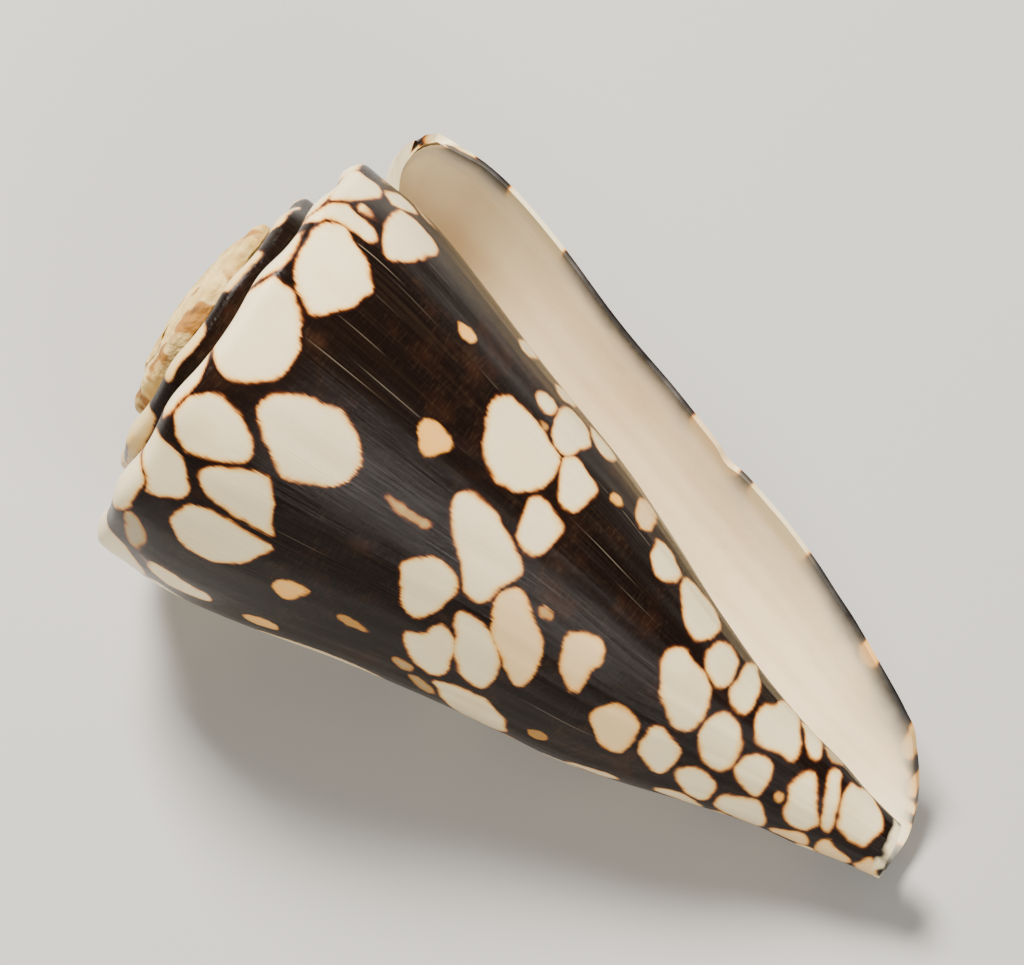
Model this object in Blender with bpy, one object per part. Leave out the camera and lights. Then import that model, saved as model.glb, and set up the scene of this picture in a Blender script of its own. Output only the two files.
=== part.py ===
"""An empty marble cone shell that lies on its back, with its aperture up.

Metres, +Z up. The shell is one coiled wall. Angles along its growth are called turns: a turn
is the angle in radians around the coiling axis, 0 at the outer lip and negative before it.
The shell's own frame has the axis along Z with the apex up, the shoulder of the lip at height
0 and the lip at azimuth 0. The finished shell is then laid down.
"""
import math

import bmesh
import bpy
from mathutils import Matrix, Vector

FULL_TURN = 2.0 * math.pi

# Side of the body whorl: depth below the lip's shoulder, radius at the lip, and how much that
# radius grows in one turn
SIDE_LINE = (
    (0.0000, 0.0297, 1.42),
    (0.0050, 0.0303, 1.43),
    (0.0100, 0.0299, 1.46),
    (0.0170, 0.0283, 1.52),
    (0.0260, 0.0256, 1.60),
    (0.0370, 0.0230, 1.74),
    (0.0435, 0.0217, 1.90),
    (0.0500, 0.0207, 2.20),
    (0.0570, 0.0189, 2.70),
    (0.0640, 0.01635, 3.40),
    (0.0700, 0.0138, 3.95),
    (0.0750, 0.0124, 4.50),
    (0.0790, 0.0114, 6.00),
    (0.0830, 0.0104, 7.50),
)
BODY_LENGTH = SIDE_LINE[-1][0]
SHOULDER_RADIUS = SIDE_LINE[0][1]
WHORL_GROWTH = SIDE_LINE[0][2]

# Anterior end
END_LEAN = 0.0009           # how far the anterior half stands off the axis
END_LEAN_AZIMUTH = math.radians(167)
END_LEAN_FROM, END_LEAN_TO = 0.40, 0.64
END_RISE = 0.0021           # how much shorter the end is a turn before the lip
END_RISE_FROM, END_RISE_TO = math.radians(70), math.radians(350)

# Spire
SPIRE_HEIGHT = 0.0125       # of the coil's point above the lip's shoulder
SPIRE_TURNS = 3.6           # before these the coil is worn away
SUTURE_DROP = 0.0025        # from the older whorl's shoulder down to the suture, at the lip
CROWN_HEIGHT = 0.0009       # of the ramp's outer part above the shoulder's edge
CROWN_FROM, CROWN_TO = 0.30, 0.75
CHANNEL_DEPTH = 0.0007      # of the hollow along the middle of the ramp
CHANNEL_WIDTH = 0.70
LIP_FLARE = 0.0008          # how far the ramp's free edge turns up
FLARE_REACH = math.radians(12)
WORN_RADIUS = 0.0060        # inside this the apex is worn smooth
FRESH_RADIUS = 0.0125       # outside this nothing is worn
WORN_TOP = 0.0103           # height of the worn apex
WORN_BULGE = 14.5           # how fast the worn dome falls, per metre

# Nodules on the shoulder, in degrees of turn before the lip
NODULES = (13, 43, 70, 106, 136, 171, 203, 233, 273, 303, 336, 363,
           391, 421, 448, 491, 521, 556, 594, 631, 671, 701, 741)
NODULE_STEP = 31
NODULE_WIDTH = 9.5
NODULE_HEIGHT = 0.0012
NODULE_DROP = 0.0032        # how far down the side they fade
NODULE_OUT, NODULE_UP = 0.70, 0.45
NODULE_FOOT, NODULE_TOP = 0.30, 0.90
NODULE_BROW = 0.55          # beyond this part of the ramp they lean outwards

# The wall and its free edge
LIP_THICKNESS = 0.0007
WALL_THICKNESS = 0.0021
THICKENING = math.radians(25)
END_THICKNESS = 0.0010
THINNING_DEPTH = 0.60
CORNER_DEPTH = 0.82         # where the lip starts to curve back to the anterior end
CORNER_SWEEP = math.radians(78)
CORNER_REACH = math.radians(170)

# The mesh's rows and columns
COLUMNS = 66                # in a turn
NOTCH_COLUMNS = 3           # the lip's notch at the suture reaches this many columns back
NOTCH_END = 0.35            # part of the ramp that the notch's floor takes up
CAVITY_COLUMNS = 34         # depth of the cavity behind the lip
RAMP_ROWS = (0.0, 0.14, 0.32, 0.52, 0.70, 0.86, 1.0)
EDGE_ROWS = (0.34, 0.68, 1.0)
SIDE_ROWS = (0.0, 0.053, 0.116, 0.217, 0.323, 0.429, 0.524, 0.619, 0.704, 0.778, 0.841, 0.894,
             0.937, 0.970, 0.990, 1.0)
INNER_RAMP_ROWS = (0.25, 0.5, 0.75)
INNER_SHOULDER = 1.5        # thickness of the wall under the shoulder, in thicknesses
DOME_RINGS = (0.66, 0.33)

# The resting place
REST_ROLL = math.radians(100)
REST_TILT = math.radians(14.25)
FLAT_DEPTH = 0.0005


def remove_objects():
    """Leave an empty scene."""
    for item in list(bpy.data.objects):
        bpy.data.objects.remove(item, do_unlink=True)


def shell_material():
    """Glossy, nearly black brown."""
    material = bpy.data.materials.new("shell")
    material.use_nodes = True
    shader = material.node_tree.nodes["Principled BSDF"]
    shader.inputs["Base Color"].default_value = (0.045, 0.022, 0.014, 1.0)
    shader.inputs["Roughness"].default_value = 0.28
    shader.inputs["Metallic"].default_value = 0.0
    return material


def ease(low, high, value):
    """0 below low, 1 above high, smooth between them."""
    part = min(1.0, max(0.0, (value - low) / (high - low)))
    return part * part * (3.0 - 2.0 * part)


def scale(turn):
    """How large the whorl is at this turn, as a fraction of its size at the lip."""
    return WHORL_GROWTH ** (turn / FULL_TURN)


def shoulder_height(turn):
    return SPIRE_HEIGHT * (1.0 - scale(turn))


def length(turn):
    """From the shoulder down to the anterior end."""
    return shoulder_height(turn) + BODY_LENGTH - END_RISE * ease(END_RISE_FROM, END_RISE_TO, -turn)


def side_line(depth, field):
    """A field of SIDE_LINE at a depth of 0 at the shoulder to 1 at the end, on a smooth line."""
    rows = SIDE_LINE
    here = depth * BODY_LENGTH
    last = len(rows) - 1
    index = max(i for i in range(last) if rows[i][0] <= here or i == 0)
    slopes = []
    for i in (index, index + 1):
        before, after = rows[max(i - 1, 0)], rows[min(i + 1, last)]
        slopes.append((after[field] - before[field]) / (after[0] - before[0]))
    start, end = rows[index], rows[index + 1]
    step = end[0] - start[0]
    part = (here - start[0]) / step
    square, cube = part ** 2, part ** 3
    return ((2 * cube - 3 * square + 1) * start[field] + (cube - 2 * square + part) * step * slopes[0]
            + (3 * square - 2 * cube) * end[field] + (cube - square) * step * slopes[1])


def side_radius(turn, depth):
    return side_line(depth, 1) * side_line(depth, 2) ** (turn / FULL_TURN)


def nodule_places():
    """Every nodule, in degrees before the lip: those seen, then an even rule to the apex."""
    places = list(NODULES)
    while places[-1] < 360 * SPIRE_TURNS:
        places.append(places[-1] + NODULE_STEP)
    return places


NODULE_PLACES = nodule_places()


def nodule_lift(turn):
    """Height of the nodules at this turn."""
    before = -math.degrees(turn)
    total = sum(math.exp(-((before - place) / NODULE_WIDTH) ** 2) for place in NODULE_PLACES)
    return NODULE_HEIGHT * scale(turn) * total


def dome_height(radius):
    """Of the worn apex."""
    return WORN_TOP - WORN_BULGE * radius * radius


def wear(radius, height):
    """The worn apex is a low dome, with the coil's relief gone from it."""
    if height < 0.0:
        return radius, height
    kept = ease(WORN_RADIUS, FRESH_RADIUS, radius)
    dome = dome_height(radius)
    return radius, dome + (height - dome) * kept


def wall_point(turn, depth):
    """Radius and height of the whorl's side."""
    below = depth * length(turn)
    lift = nodule_lift(turn) * math.exp(-(below / (NODULE_DROP * scale(turn))) ** 2)
    return wear(side_radius(turn, depth) + NODULE_OUT * lift, shoulder_height(turn) - below + NODULE_UP * lift)


def suture_depth(turn):
    """Depth on the side at this turn where the next whorl joins it."""
    return SUTURE_DROP * scale(turn + FULL_TURN) / length(turn)


def ramp_point(turn, part):
    """Radius and height of the ramp, from the suture at part 0 to the shoulder's edge at 1."""
    size = scale(turn)
    older = turn - FULL_TURN
    inner_radius, inner_height = wall_point(older, suture_depth(older))
    if part == 0.0:
        return inner_radius, inner_height
    outer_radius = SHOULDER_RADIUS * size
    lift = nodule_lift(turn) * ease(NODULE_FOOT, NODULE_TOP, part)
    brow = ease(NODULE_BROW, 1.0, part)
    radius = inner_radius + part * (outer_radius - inner_radius) + NODULE_OUT * brow * lift
    height = inner_height + part * (shoulder_height(turn) - inner_height)
    height += (1.0 - (1.0 - NODULE_UP) * brow) * lift
    height += size * CROWN_HEIGHT * (ease(CROWN_FROM, CROWN_TO, part) - ease(CROWN_TO, 1.0, part) ** 2)
    height -= size * CHANNEL_DEPTH * math.sin(math.pi * min(1.0, part / CHANNEL_WIDTH)) ** 2
    height += LIP_FLARE * math.exp(turn / FLARE_REACH) * math.sin(math.pi * part)
    return wear(radius, height)


def thickness(turn, depth):
    """Of the wall: thin at the lip and at the anterior end."""
    behind = 1.0 - math.exp(turn / THICKENING)
    full = WALL_THICKNESS + (END_THICKNESS - WALL_THICKNESS) * ease(THINNING_DEPTH, 1.0, depth)
    return LIP_THICKNESS + (full - LIP_THICKNESS) * behind


def place(turn, radius, height):
    """A point of the shell's frame. Seen from the apex the shell grows clockwise."""
    lean = END_LEAN * ease(END_LEAN_FROM, END_LEAN_TO, -height / BODY_LENGTH)
    return Vector((radius * math.cos(-turn) + lean * math.cos(END_LEAN_AZIMUTH),
                   radius * math.sin(-turn) + lean * math.sin(END_LEAN_AZIMUTH),
                   height))


def column_turn(column):
    """Turn of a column of the mesh, of which the last is the lip."""
    return (column - LAST_COLUMN) * FULL_TURN / COLUMNS


def notch(part):
    """How far a growth line on the ramp lies behind the same line on the side."""
    return -NOTCH_COLUMNS * FULL_TURN / COLUMNS * (1.0 - ease(NOTCH_END, 1.0, part))


def corner(turn, depth):
    """How far the lip's lower corner draws the columns back."""
    part = max(0.0, (depth - CORNER_DEPTH) / (1.0 - CORNER_DEPTH))
    swept = CORNER_SWEEP * (1.0 - math.sqrt(max(0.0, 1.0 - part * part)))
    return -swept * max(0.0, 1.0 + turn / CORNER_REACH)


def side_depths(turn):
    """Depths of the rows below the suture row."""
    start = suture_depth(turn) + WALL_THICKNESS / BODY_LENGTH
    return [start + (1.0 - start) * row for row in SIDE_ROWS]


LAST_COLUMN = round(SPIRE_TURNS * COLUMNS)
BACK = COLUMNS + NOTCH_COLUMNS       # columns from a suture point to the same point on the older whorl
SUTURE_ROW = len(RAMP_ROWS) + len(EDGE_ROWS) - 1
OUTER_ROWS = SUTURE_ROW + len(SIDE_ROWS)
INNER_ROWS = len(INNER_RAMP_ROWS) + len(SIDE_ROWS)


class Mesh:
    """The shell's vertices, each made once for its place in the coil."""

    def __init__(self):
        self.bm = bmesh.new()
        self.made = {}

    def vertex(self, key, point):
        if key not in self.made:
            self.made[key] = self.bm.verts.new(point)
        return self.made[key]

    def outer(self, column, row):
        """Outer face: ramp rows, then the shoulder's edge, then the side down to the end."""
        if row == 0 and column >= BACK:
            return self.outer(column - BACK, SUTURE_ROW)
        turn = column_turn(column)
        if row < len(RAMP_ROWS):
            part = RAMP_ROWS[row]
            turn += notch(part)
            return self.vertex(("outer", column, row), place(turn, *ramp_point(turn, part)))
        if row <= SUTURE_ROW:
            depth = EDGE_ROWS[row - len(RAMP_ROWS)] * suture_depth(turn)
        else:
            depth = side_depths(turn)[row - SUTURE_ROW - 1]
        turn += corner(turn, depth)
        return self.vertex(("outer", column, row), place(turn, *wall_point(turn, depth)))

    def inner(self, column, row):
        """Inner face of the last whorl: under the ramp, then down inside the side."""
        if row == 0:
            return self.outer(column - BACK, SUTURE_ROW + 1)
        turn = column_turn(column)
        ramp_count = len(INNER_RAMP_ROWS)
        if row <= ramp_count:
            part = INNER_RAMP_ROWS[row - 1]
            turn += notch(part)
            wall = thickness(turn, 0.0)
            radius, height = ramp_point(turn, part)
            radius -= wall * part
            height -= wall * (1.0 + (INNER_SHOULDER - 1.0) * part)
        else:
            depth = side_depths(turn)[row - ramp_count - 1]
            turn += corner(turn, depth)
            radius, height = wall_point(turn, depth)
            radius -= thickness(turn, depth)
        return self.vertex(("inner", column, row), place(turn, radius, height))

    def face(self, *corners):
        """A face, without any corner that is there twice."""
        unique = []
        for vert in corners:
            if vert not in unique:
                unique.append(vert)
        if len(unique) > 2:
            self.bm.faces.new(unique)


def add_spire_and_side(mesh):
    """The ramp of every whorl, and the side of the last one with the wall seen in the aperture."""
    first = LAST_COLUMN - BACK
    for column in range(LAST_COLUMN):
        rows = list(range(SUTURE_ROW))
        if column >= first:
            rows.append(SUTURE_ROW)
        if column >= first - CAVITY_COLUMNS:
            rows += range(SUTURE_ROW + 1, OUTER_ROWS)
        for row in rows:
            mesh.face(mesh.outer(column, row), mesh.outer(column + 1, row),
                      mesh.outer(column + 1, row + 1), mesh.outer(column, row + 1))


def add_apex(mesh):
    """The worn dome: rings inside the coil's beginning, and a fan in the last of them."""
    loop = [mesh.outer(column, 0) for column in range(BACK + 1)]
    loop += [mesh.outer(0, row) for row in range(SUTURE_ROW - 1, 0, -1)]
    rim = [vert.co.copy() for vert in loop]
    for ring, part in enumerate(DOME_RINGS):
        inside = []
        for index, point in enumerate(rim):
            flat = part * point.xy
            height = dome_height(flat.length)
            inside.append(mesh.vertex(("dome", ring, index), Vector((flat.x, flat.y, height))))
        for index in range(len(loop)):
            after = (index + 1) % len(loop)
            mesh.face(loop[index], inside[index], inside[after], loop[after])
        loop = inside
    centre = mesh.vertex("apex", Vector((0.0, 0.0, WORN_TOP)))
    for here, after in zip(loop, loop[1:] + loop[:1]):
        mesh.face(centre, after, here)


def add_cavity(mesh):
    """The inner face behind the lip, the far end of the cavity, and the anterior rim."""
    first = LAST_COLUMN - CAVITY_COLUMNS
    for column in range(first, LAST_COLUMN):
        for row in range(INNER_ROWS):
            mesh.face(mesh.inner(column, row), mesh.inner(column, row + 1),
                      mesh.inner(column + 1, row + 1), mesh.inner(column + 1, row))
        mesh.face(mesh.outer(column, OUTER_ROWS), mesh.outer(column + 1, OUTER_ROWS),
                  mesh.inner(column + 1, INNER_ROWS), mesh.inner(column, INNER_ROWS))
    ramp_count = len(INNER_RAMP_ROWS)
    for row in range(ramp_count + 1):
        mesh.face(mesh.inner(first, row), mesh.inner(first, row + 1), mesh.outer(first - BACK, SUTURE_ROW + 1))
    for row in range(len(SIDE_ROWS) - 1):
        mesh.face(mesh.outer(first - BACK, SUTURE_ROW + 1 + row), mesh.inner(first, ramp_count + row + 1),
                  mesh.inner(first, ramp_count + row + 2), mesh.outer(first - BACK, SUTURE_ROW + 2 + row))


def add_lip_edge(mesh):
    """The strip between the outer and the inner face along the lip."""
    outer = [mesh.outer(LAST_COLUMN, row) for row in range(OUTER_ROWS + 1)]
    inner = [mesh.inner(LAST_COLUMN, row) for row in range(INNER_ROWS + 1)]
    here = there = 0
    while here < OUTER_ROWS or there < INNER_ROWS:
        if there == INNER_ROWS or (here < OUTER_ROWS and here / OUTER_ROWS <= there / INNER_ROWS):
            mesh.face(outer[here], inner[there], outer[here + 1])
            here += 1
        else:
            mesh.face(outer[here], inner[there], inner[there + 1])
            there += 1


def add_anterior_end(mesh):
    """The end of the rolled wall in front of the cavity, as a fan around the axis."""
    first = LAST_COLUMN - CAVITY_COLUMNS
    loop = [mesh.outer(column, OUTER_ROWS) for column in range(first - BACK, first + 1)]
    loop.append(mesh.inner(first, INNER_ROWS))
    centre = mesh.vertex("anterior end", place(0.0, 0.0, END_RISE - BODY_LENGTH))
    for here, after in zip(loop, loop[1:] + loop[:1]):
        mesh.face(centre, here, after)


def build_shell():
    mesh = Mesh()
    add_spire_and_side(mesh)
    add_apex(mesh)
    add_cavity(mesh)
    add_lip_edge(mesh)
    add_anterior_end(mesh)
    bm = mesh.bm
    bmesh.ops.recalc_face_normals(bm, faces=bm.faces)
    return bm


def resting_matrix():
    """Turns the shell's frame so that its back is down, the spire to -X and the lip to +Y."""
    down = Vector((-math.sin(REST_TILT), 0.0, -math.cos(REST_TILT)))
    apex = Vector((-math.cos(REST_TILT), 0.0, math.sin(REST_TILT)))
    frame = Matrix((down, apex.cross(down), apex)).transposed()
    return frame.to_4x4() @ Matrix.Rotation(-REST_ROLL, 4, "Z")


def lay_down(bm):
    """Lay the shell on its back, cut the flat that it rests on, and centre it over the origin."""
    bm.transform(resting_matrix())
    lowest = min(vert.co.z for vert in bm.verts)
    cut = bmesh.ops.bisect_plane(bm, geom=bm.verts[:] + bm.edges[:] + bm.faces[:], dist=1e-7,
                                 plane_co=(0.0, 0.0, lowest + FLAT_DEPTH), plane_no=(0.0, 0.0, -1.0),
                                 clear_outer=True)
    rim = [item for item in cut["geom_cut"] if isinstance(item, bmesh.types.BMEdge)]
    bmesh.ops.holes_fill(bm, edges=rim, sides=0)
    low = [min(vert.co[axis] for vert in bm.verts) for axis in range(3)]
    high = [max(vert.co[axis] for vert in bm.verts) for axis in range(3)]
    middle = Vector(((low[0] + high[0]) / 2, (low[1] + high[1]) / 2, low[2]))
    bmesh.ops.translate(bm, verts=bm.verts, vec=-middle)
    bmesh.ops.triangulate(bm, faces=bm.faces)


def add_shell():
    bm = build_shell()
    lay_down(bm)
    data = bpy.data.meshes.new("shell")
    bm.to_mesh(data)
    bm.free()
    data.shade_smooth()
    data.set_sharp_from_angle(angle=math.radians(40))
    shell = bpy.data.objects.new("shell", data)
    shell.data.materials.append(shell_material())
    bpy.context.scene.collection.objects.link(shell)
    return shell


def main():
    remove_objects()
    add_shell()


main()
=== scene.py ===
import math

import bmesh
import bpy
import numpy as np
from mathutils import Matrix, Vector
from mathutils.bvhtree import BVHTree
from mathutils.interpolate import poly_3d_calc


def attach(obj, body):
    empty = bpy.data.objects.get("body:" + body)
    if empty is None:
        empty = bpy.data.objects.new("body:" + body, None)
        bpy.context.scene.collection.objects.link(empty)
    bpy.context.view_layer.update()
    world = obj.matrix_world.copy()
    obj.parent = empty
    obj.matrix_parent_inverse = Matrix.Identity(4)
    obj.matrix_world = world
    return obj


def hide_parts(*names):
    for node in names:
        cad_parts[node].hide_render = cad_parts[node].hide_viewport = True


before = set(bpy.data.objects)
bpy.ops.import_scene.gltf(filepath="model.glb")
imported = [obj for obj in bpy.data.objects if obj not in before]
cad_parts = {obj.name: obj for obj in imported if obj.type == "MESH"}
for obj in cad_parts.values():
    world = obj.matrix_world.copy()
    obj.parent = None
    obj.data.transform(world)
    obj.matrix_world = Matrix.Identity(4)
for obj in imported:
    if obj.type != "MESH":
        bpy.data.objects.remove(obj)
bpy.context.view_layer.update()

# Wall of the shell: one coiled sheet of polished lime, laid down at the lip as the animal grew.
# It is made as three sheets that follow the law of growth: the ramp of the spire, the side of
# the last whorl and the inside of the aperture. They are then sewn into one closed wall.
FULL_TURN = 2.0 * math.pi
MILLIMETRES = 1000.0

# Side of the body whorl: depth below the lip's shoulder, radius at the lip, and how much that
# radius grows in one turn
SIDE_LINE = np.array((
    (0.0000, 0.0297, 1.42),
    (0.0050, 0.0303, 1.43),
    (0.0100, 0.0299, 1.46),
    (0.0170, 0.0283, 1.52),
    (0.0260, 0.0256, 1.60),
    (0.0370, 0.0230, 1.74),
    (0.0435, 0.0217, 1.90),
    (0.0500, 0.0207, 2.20),
    (0.0570, 0.0189, 2.70),
    (0.0640, 0.01635, 3.40),
    (0.0700, 0.0138, 3.95),
    (0.0750, 0.0124, 4.50),
    (0.0790, 0.0114, 6.00),
    (0.0830, 0.0104, 7.50),
))
BODY_LENGTH = SIDE_LINE[-1, 0]
SHOULDER_RADIUS = SIDE_LINE[0, 1]
WHORL_GROWTH = SIDE_LINE[0, 2]
# The anterior end leans to one side, and growth lines further behind the lip end a little higher
END_LEAN = 0.0009
END_LEAN_AZIMUTH = math.radians(167)
END_LEAN_FROM, END_LEAN_TO = 0.40, 0.64
END_RISE = 0.0021
END_RISE_FROM, END_RISE_TO = math.radians(70), math.radians(350)

# Spire: how far below its shoulder a whorl is joined by the next, the low crown and the channel
# along the ramp, the ramp's rise at the lip, and the dome that the apex is worn to
SPIRE_HEIGHT = 0.0125
SUTURE_DROP = 0.0025
CROWN_HEIGHT = 0.0009
CROWN_FROM, CROWN_TO = 0.30, 0.75
CHANNEL_DEPTH = 0.0007
CHANNEL_WIDTH = 0.70
LIP_FLARE = 0.0008
FLARE_REACH = math.radians(12)
WORN_RADIUS, FRESH_RADIUS = 0.0060, 0.0125
WORN_TOP = 0.0103
WORN_BULGE = 14.5
# Lumps of the worn apex: radians in a metre across and along, where they start, and their height
WEAR_LUMPS = (
    (720.0, 610.0, 0.4, 0.00010),
    (1240.0, -980.0, 1.9, 0.00007),
    (1900.0, 1750.0, 3.1, 0.00005),
    (450.0, 1500.0, 5.0, 0.00006),
)

# Nodules on the shoulder, in degrees of growth before the lip, then their size and their shape
NODULES = (13, 43, 70, 106, 136, 171, 203, 233, 273, 303, 336, 363,
           391, 421, 448, 491, 521, 556, 594, 631, 671, 701, 741)
NODULE_STEP = 31
NODULE_WIDTH = 9.5
NODULE_HEIGHT = 0.0012
NODULE_DROP = 0.0032
NODULE_OUT, NODULE_UP = 0.70, 0.45
NODULE_FOOT, NODULE_TOP = 0.30, 0.90
NODULE_BROW = 0.55

# Wall: its thickness at the lip, behind it and at the anterior end, and the lip's lower corner,
# which is swept back
LIP_THICKNESS = 0.0005
WALL_THICKNESS = 0.0021
THICKENING = math.radians(25)
END_THICKNESS = 0.0010
THINNING_DEPTH = 0.60
INNER_SHOULDER = 1.5
CORNER_DEPTH = 0.82
CORNER_SWEEP = math.radians(78)
CORNER_REACH = math.radians(170)
# Chips and one bump on the lip: depth below the shoulder, half width, and loss in radians
LIP_CHIPS = ((0.0445, 0.0013, 0.040), (0.0765, 0.0011, -0.035), (0.0290, 0.0040, 0.008),
             (0.0615, 0.0022, 0.010), (0.0530, 0.0025, -0.008))
CHIP_REACH = math.radians(3.0)
# Growth ripples on the side: waves in a full turn, where they start, and their height
RIPPLES = ((17.0, 0.3, 0.00004), (29.0, 2.1, 0.00003), (47.0, 4.0, 0.000015))
RIPPLE_SLANT = 5.0
RIPPLE_START = 0.08
RIPPLE_CALM = 0.7
CALM_FROM, CALM_TO = 0.6, 0.95

# Grids of the sheets: columns in a full turn, the column at the lip, how many columns the notch at
# the lip's upper end and the cavity take up, and then the rows
COLUMNS = 264
LAST_COLUMN = 952
NOTCH_COLUMNS = 12
NOTCH_END = 0.35
CAVITY_COLUMNS = 136
BACK = COLUMNS + NOTCH_COLUMNS
BODY_START = LAST_COLUMN - BACK
RAMP_STEPS, EDGE_STEPS, SIDE_STEPS = 20, 5, 112
UNDER_STEPS = RAMP_STEPS + EDGE_STEPS
END_CROWDING = 1.4
# A corner's place in its sheet is kept as one number: its column times this, its row and 1
PLACE_STEP = 1000


def ease(low, high, value):
    """0 below low, 1 above high, smooth between them."""
    part = np.clip((value - low) / (high - low), 0.0, 1.0)
    return part * part * (3.0 - 2.0 * part)


def whorl_scale(turn):
    return WHORL_GROWTH ** (turn / FULL_TURN)


def shoulder_height(turn):
    return SPIRE_HEIGHT * (1.0 - whorl_scale(turn))


def side_length(turn):
    """From the shoulder down to the anterior end."""
    return shoulder_height(turn) + BODY_LENGTH - END_RISE * ease(END_RISE_FROM, END_RISE_TO, -turn)


def side_line(depth, field):
    """A smooth line through a field of SIDE_LINE, at a depth of 0 at the shoulder to 1 at the end."""
    knots, values = SIDE_LINE[:, 0], SIDE_LINE[:, field]
    last = len(knots) - 1
    before = np.maximum(np.arange(last + 1) - 1, 0)
    after = np.minimum(np.arange(last + 1) + 1, last)
    slopes = (values[after] - values[before]) / (knots[after] - knots[before])
    here = depth * BODY_LENGTH
    low = np.clip(np.searchsorted(knots, here, side="right") - 1, 0, last - 1)
    step = knots[low + 1] - knots[low]
    part = (here - knots[low]) / step
    square, cube = part ** 2, part ** 3
    return ((2 * cube - 3 * square + 1) * values[low] + (cube - 2 * square + part) * step * slopes[low]
            + (3 * square - 2 * cube) * values[low + 1] + (cube - square) * step * slopes[low + 1])


def side_radius(turn, depth):
    return side_line(depth, 1) * side_line(depth, 2) ** (turn / FULL_TURN)


def nodule_lift(turn):
    """Height of the shoulder's nodules, those seen and then an even rule to the apex."""
    places = list(NODULES)
    while places[-1] < 360.0 * LAST_COLUMN / COLUMNS:
        places.append(places[-1] + NODULE_STEP)
    before = -np.degrees(turn)
    total = sum(np.exp(-((before - place) / NODULE_WIDTH) ** 2) for place in places)
    return NODULE_HEIGHT * whorl_scale(turn) * total


def dome_height(radius):
    return WORN_TOP - WORN_BULGE * radius ** 2


def wear_lumps(spots):
    """Unevenness of the worn apex."""
    total = np.zeros(len(spots))
    for across, along, phase, height in WEAR_LUMPS:
        total += height * np.sin(across * spots[:, 0] + phase) * np.sin(along * spots[:, 1] + 2.0 * phase)
    return total


def wear(radius, height):
    """The apex is worn to a low dome."""
    dome = dome_height(radius)
    worn = dome + (height - dome) * ease(WORN_RADIUS, FRESH_RADIUS, radius)
    return radius, np.where(height < 0.0, height, worn)


def ripple(turn, depth):
    """Low waves that the lip left as it grew. They are lower towards the anterior end."""
    slant = RIPPLE_SLANT * depth
    waves = sum(height * np.sin(count * turn + phase + slant) for count, phase, height in RIPPLES)
    return waves * ease(0.0, RIPPLE_START, depth) * (1.0 - RIPPLE_CALM * ease(CALM_FROM, CALM_TO, depth))


def wall_point(turn, depth):
    """Radius and height of the whorl's side."""
    below = depth * side_length(turn)
    lift = nodule_lift(turn) * np.exp(-(below / (NODULE_DROP * whorl_scale(turn))) ** 2)
    return wear(side_radius(turn, depth) + NODULE_OUT * lift + ripple(turn, depth),
                shoulder_height(turn) - below + NODULE_UP * lift)


def suture_depth(turn):
    """Depth on the side at this turn where the next whorl joins it."""
    return SUTURE_DROP * whorl_scale(turn + FULL_TURN) / side_length(turn)


def ramp_point(turn, part):
    """Radius and height of the ramp, from the suture at part 0 to the shoulder's edge at 1."""
    size = whorl_scale(turn)
    older = turn - FULL_TURN
    inner_radius, inner_height = wall_point(older, suture_depth(older))
    lift = nodule_lift(turn) * ease(NODULE_FOOT, NODULE_TOP, part)
    brow = ease(NODULE_BROW, 1.0, part)
    radius = inner_radius + part * (SHOULDER_RADIUS * size - inner_radius) + NODULE_OUT * brow * lift
    height = inner_height + part * (shoulder_height(turn) - inner_height)
    height += (1.0 - (1.0 - NODULE_UP) * brow) * lift
    height += size * CROWN_HEIGHT * (ease(CROWN_FROM, CROWN_TO, part) - ease(CROWN_TO, 1.0, part) ** 2)
    height -= size * CHANNEL_DEPTH * np.sin(math.pi * np.minimum(1.0, part / CHANNEL_WIDTH)) ** 2
    height += LIP_FLARE * np.exp(turn / FLARE_REACH) * np.sin(math.pi * part)
    worn_radius, worn_height = wear(radius, height)
    joined = part <= 0.0
    return np.where(joined, inner_radius, worn_radius), np.where(joined, inner_height, worn_height)


def thickness(turn, depth):
    """Of the wall: thin at the lip and at the anterior end."""
    behind = 1.0 - np.exp(turn / THICKENING)
    full = WALL_THICKNESS + (END_THICKNESS - WALL_THICKNESS) * ease(THINNING_DEPTH, 1.0, depth)
    return LIP_THICKNESS + (full - LIP_THICKNESS) * behind


def corner_sweep(turn, depth):
    """How far the lip's lower corner and its small chips draw the growth lines back."""
    part = np.maximum(0.0, (depth - CORNER_DEPTH) / (1.0 - CORNER_DEPTH))
    swept = CORNER_SWEEP * (1.0 - np.sqrt(np.maximum(0.0, 1.0 - part * part)))
    below = depth * BODY_LENGTH
    chipped = sum(loss * np.exp(-((below - place) / half) ** 2) for place, half, loss in LIP_CHIPS)
    return -swept * np.maximum(0.0, 1.0 + turn / CORNER_REACH) - chipped * np.exp(turn / CHIP_REACH)


def notch_sweep(part):
    """How far a growth line on the ramp lies behind the same line on the side."""
    return -NOTCH_COLUMNS * FULL_TURN / COLUMNS * (1.0 - ease(NOTCH_END, 1.0, part))


def in_shell_frame(turn, radius, height):
    """Points with the axis along Z and the apex up. Seen from the apex the shell grows clockwise."""
    lean = END_LEAN * ease(END_LEAN_FROM, END_LEAN_TO, -height / BODY_LENGTH)
    return np.stack((radius * np.cos(-turn) + lean * math.cos(END_LEAN_AZIMUTH),
                     radius * np.sin(-turn) + lean * math.sin(END_LEAN_AZIMUTH),
                     height), axis=-1)


def side_depths(turn, row):
    """Depth of a row of the side, of which row 0 is at the suture."""
    start = suture_depth(turn) + WALL_THICKNESS / BODY_LENGTH
    part = 1.0 - (1.0 - np.maximum(row - 1, 0) / (SIDE_STEPS - 1)) ** END_CROWDING
    return np.where(row < 0.5, suture_depth(turn), start + (1.0 - start) * part)


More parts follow.
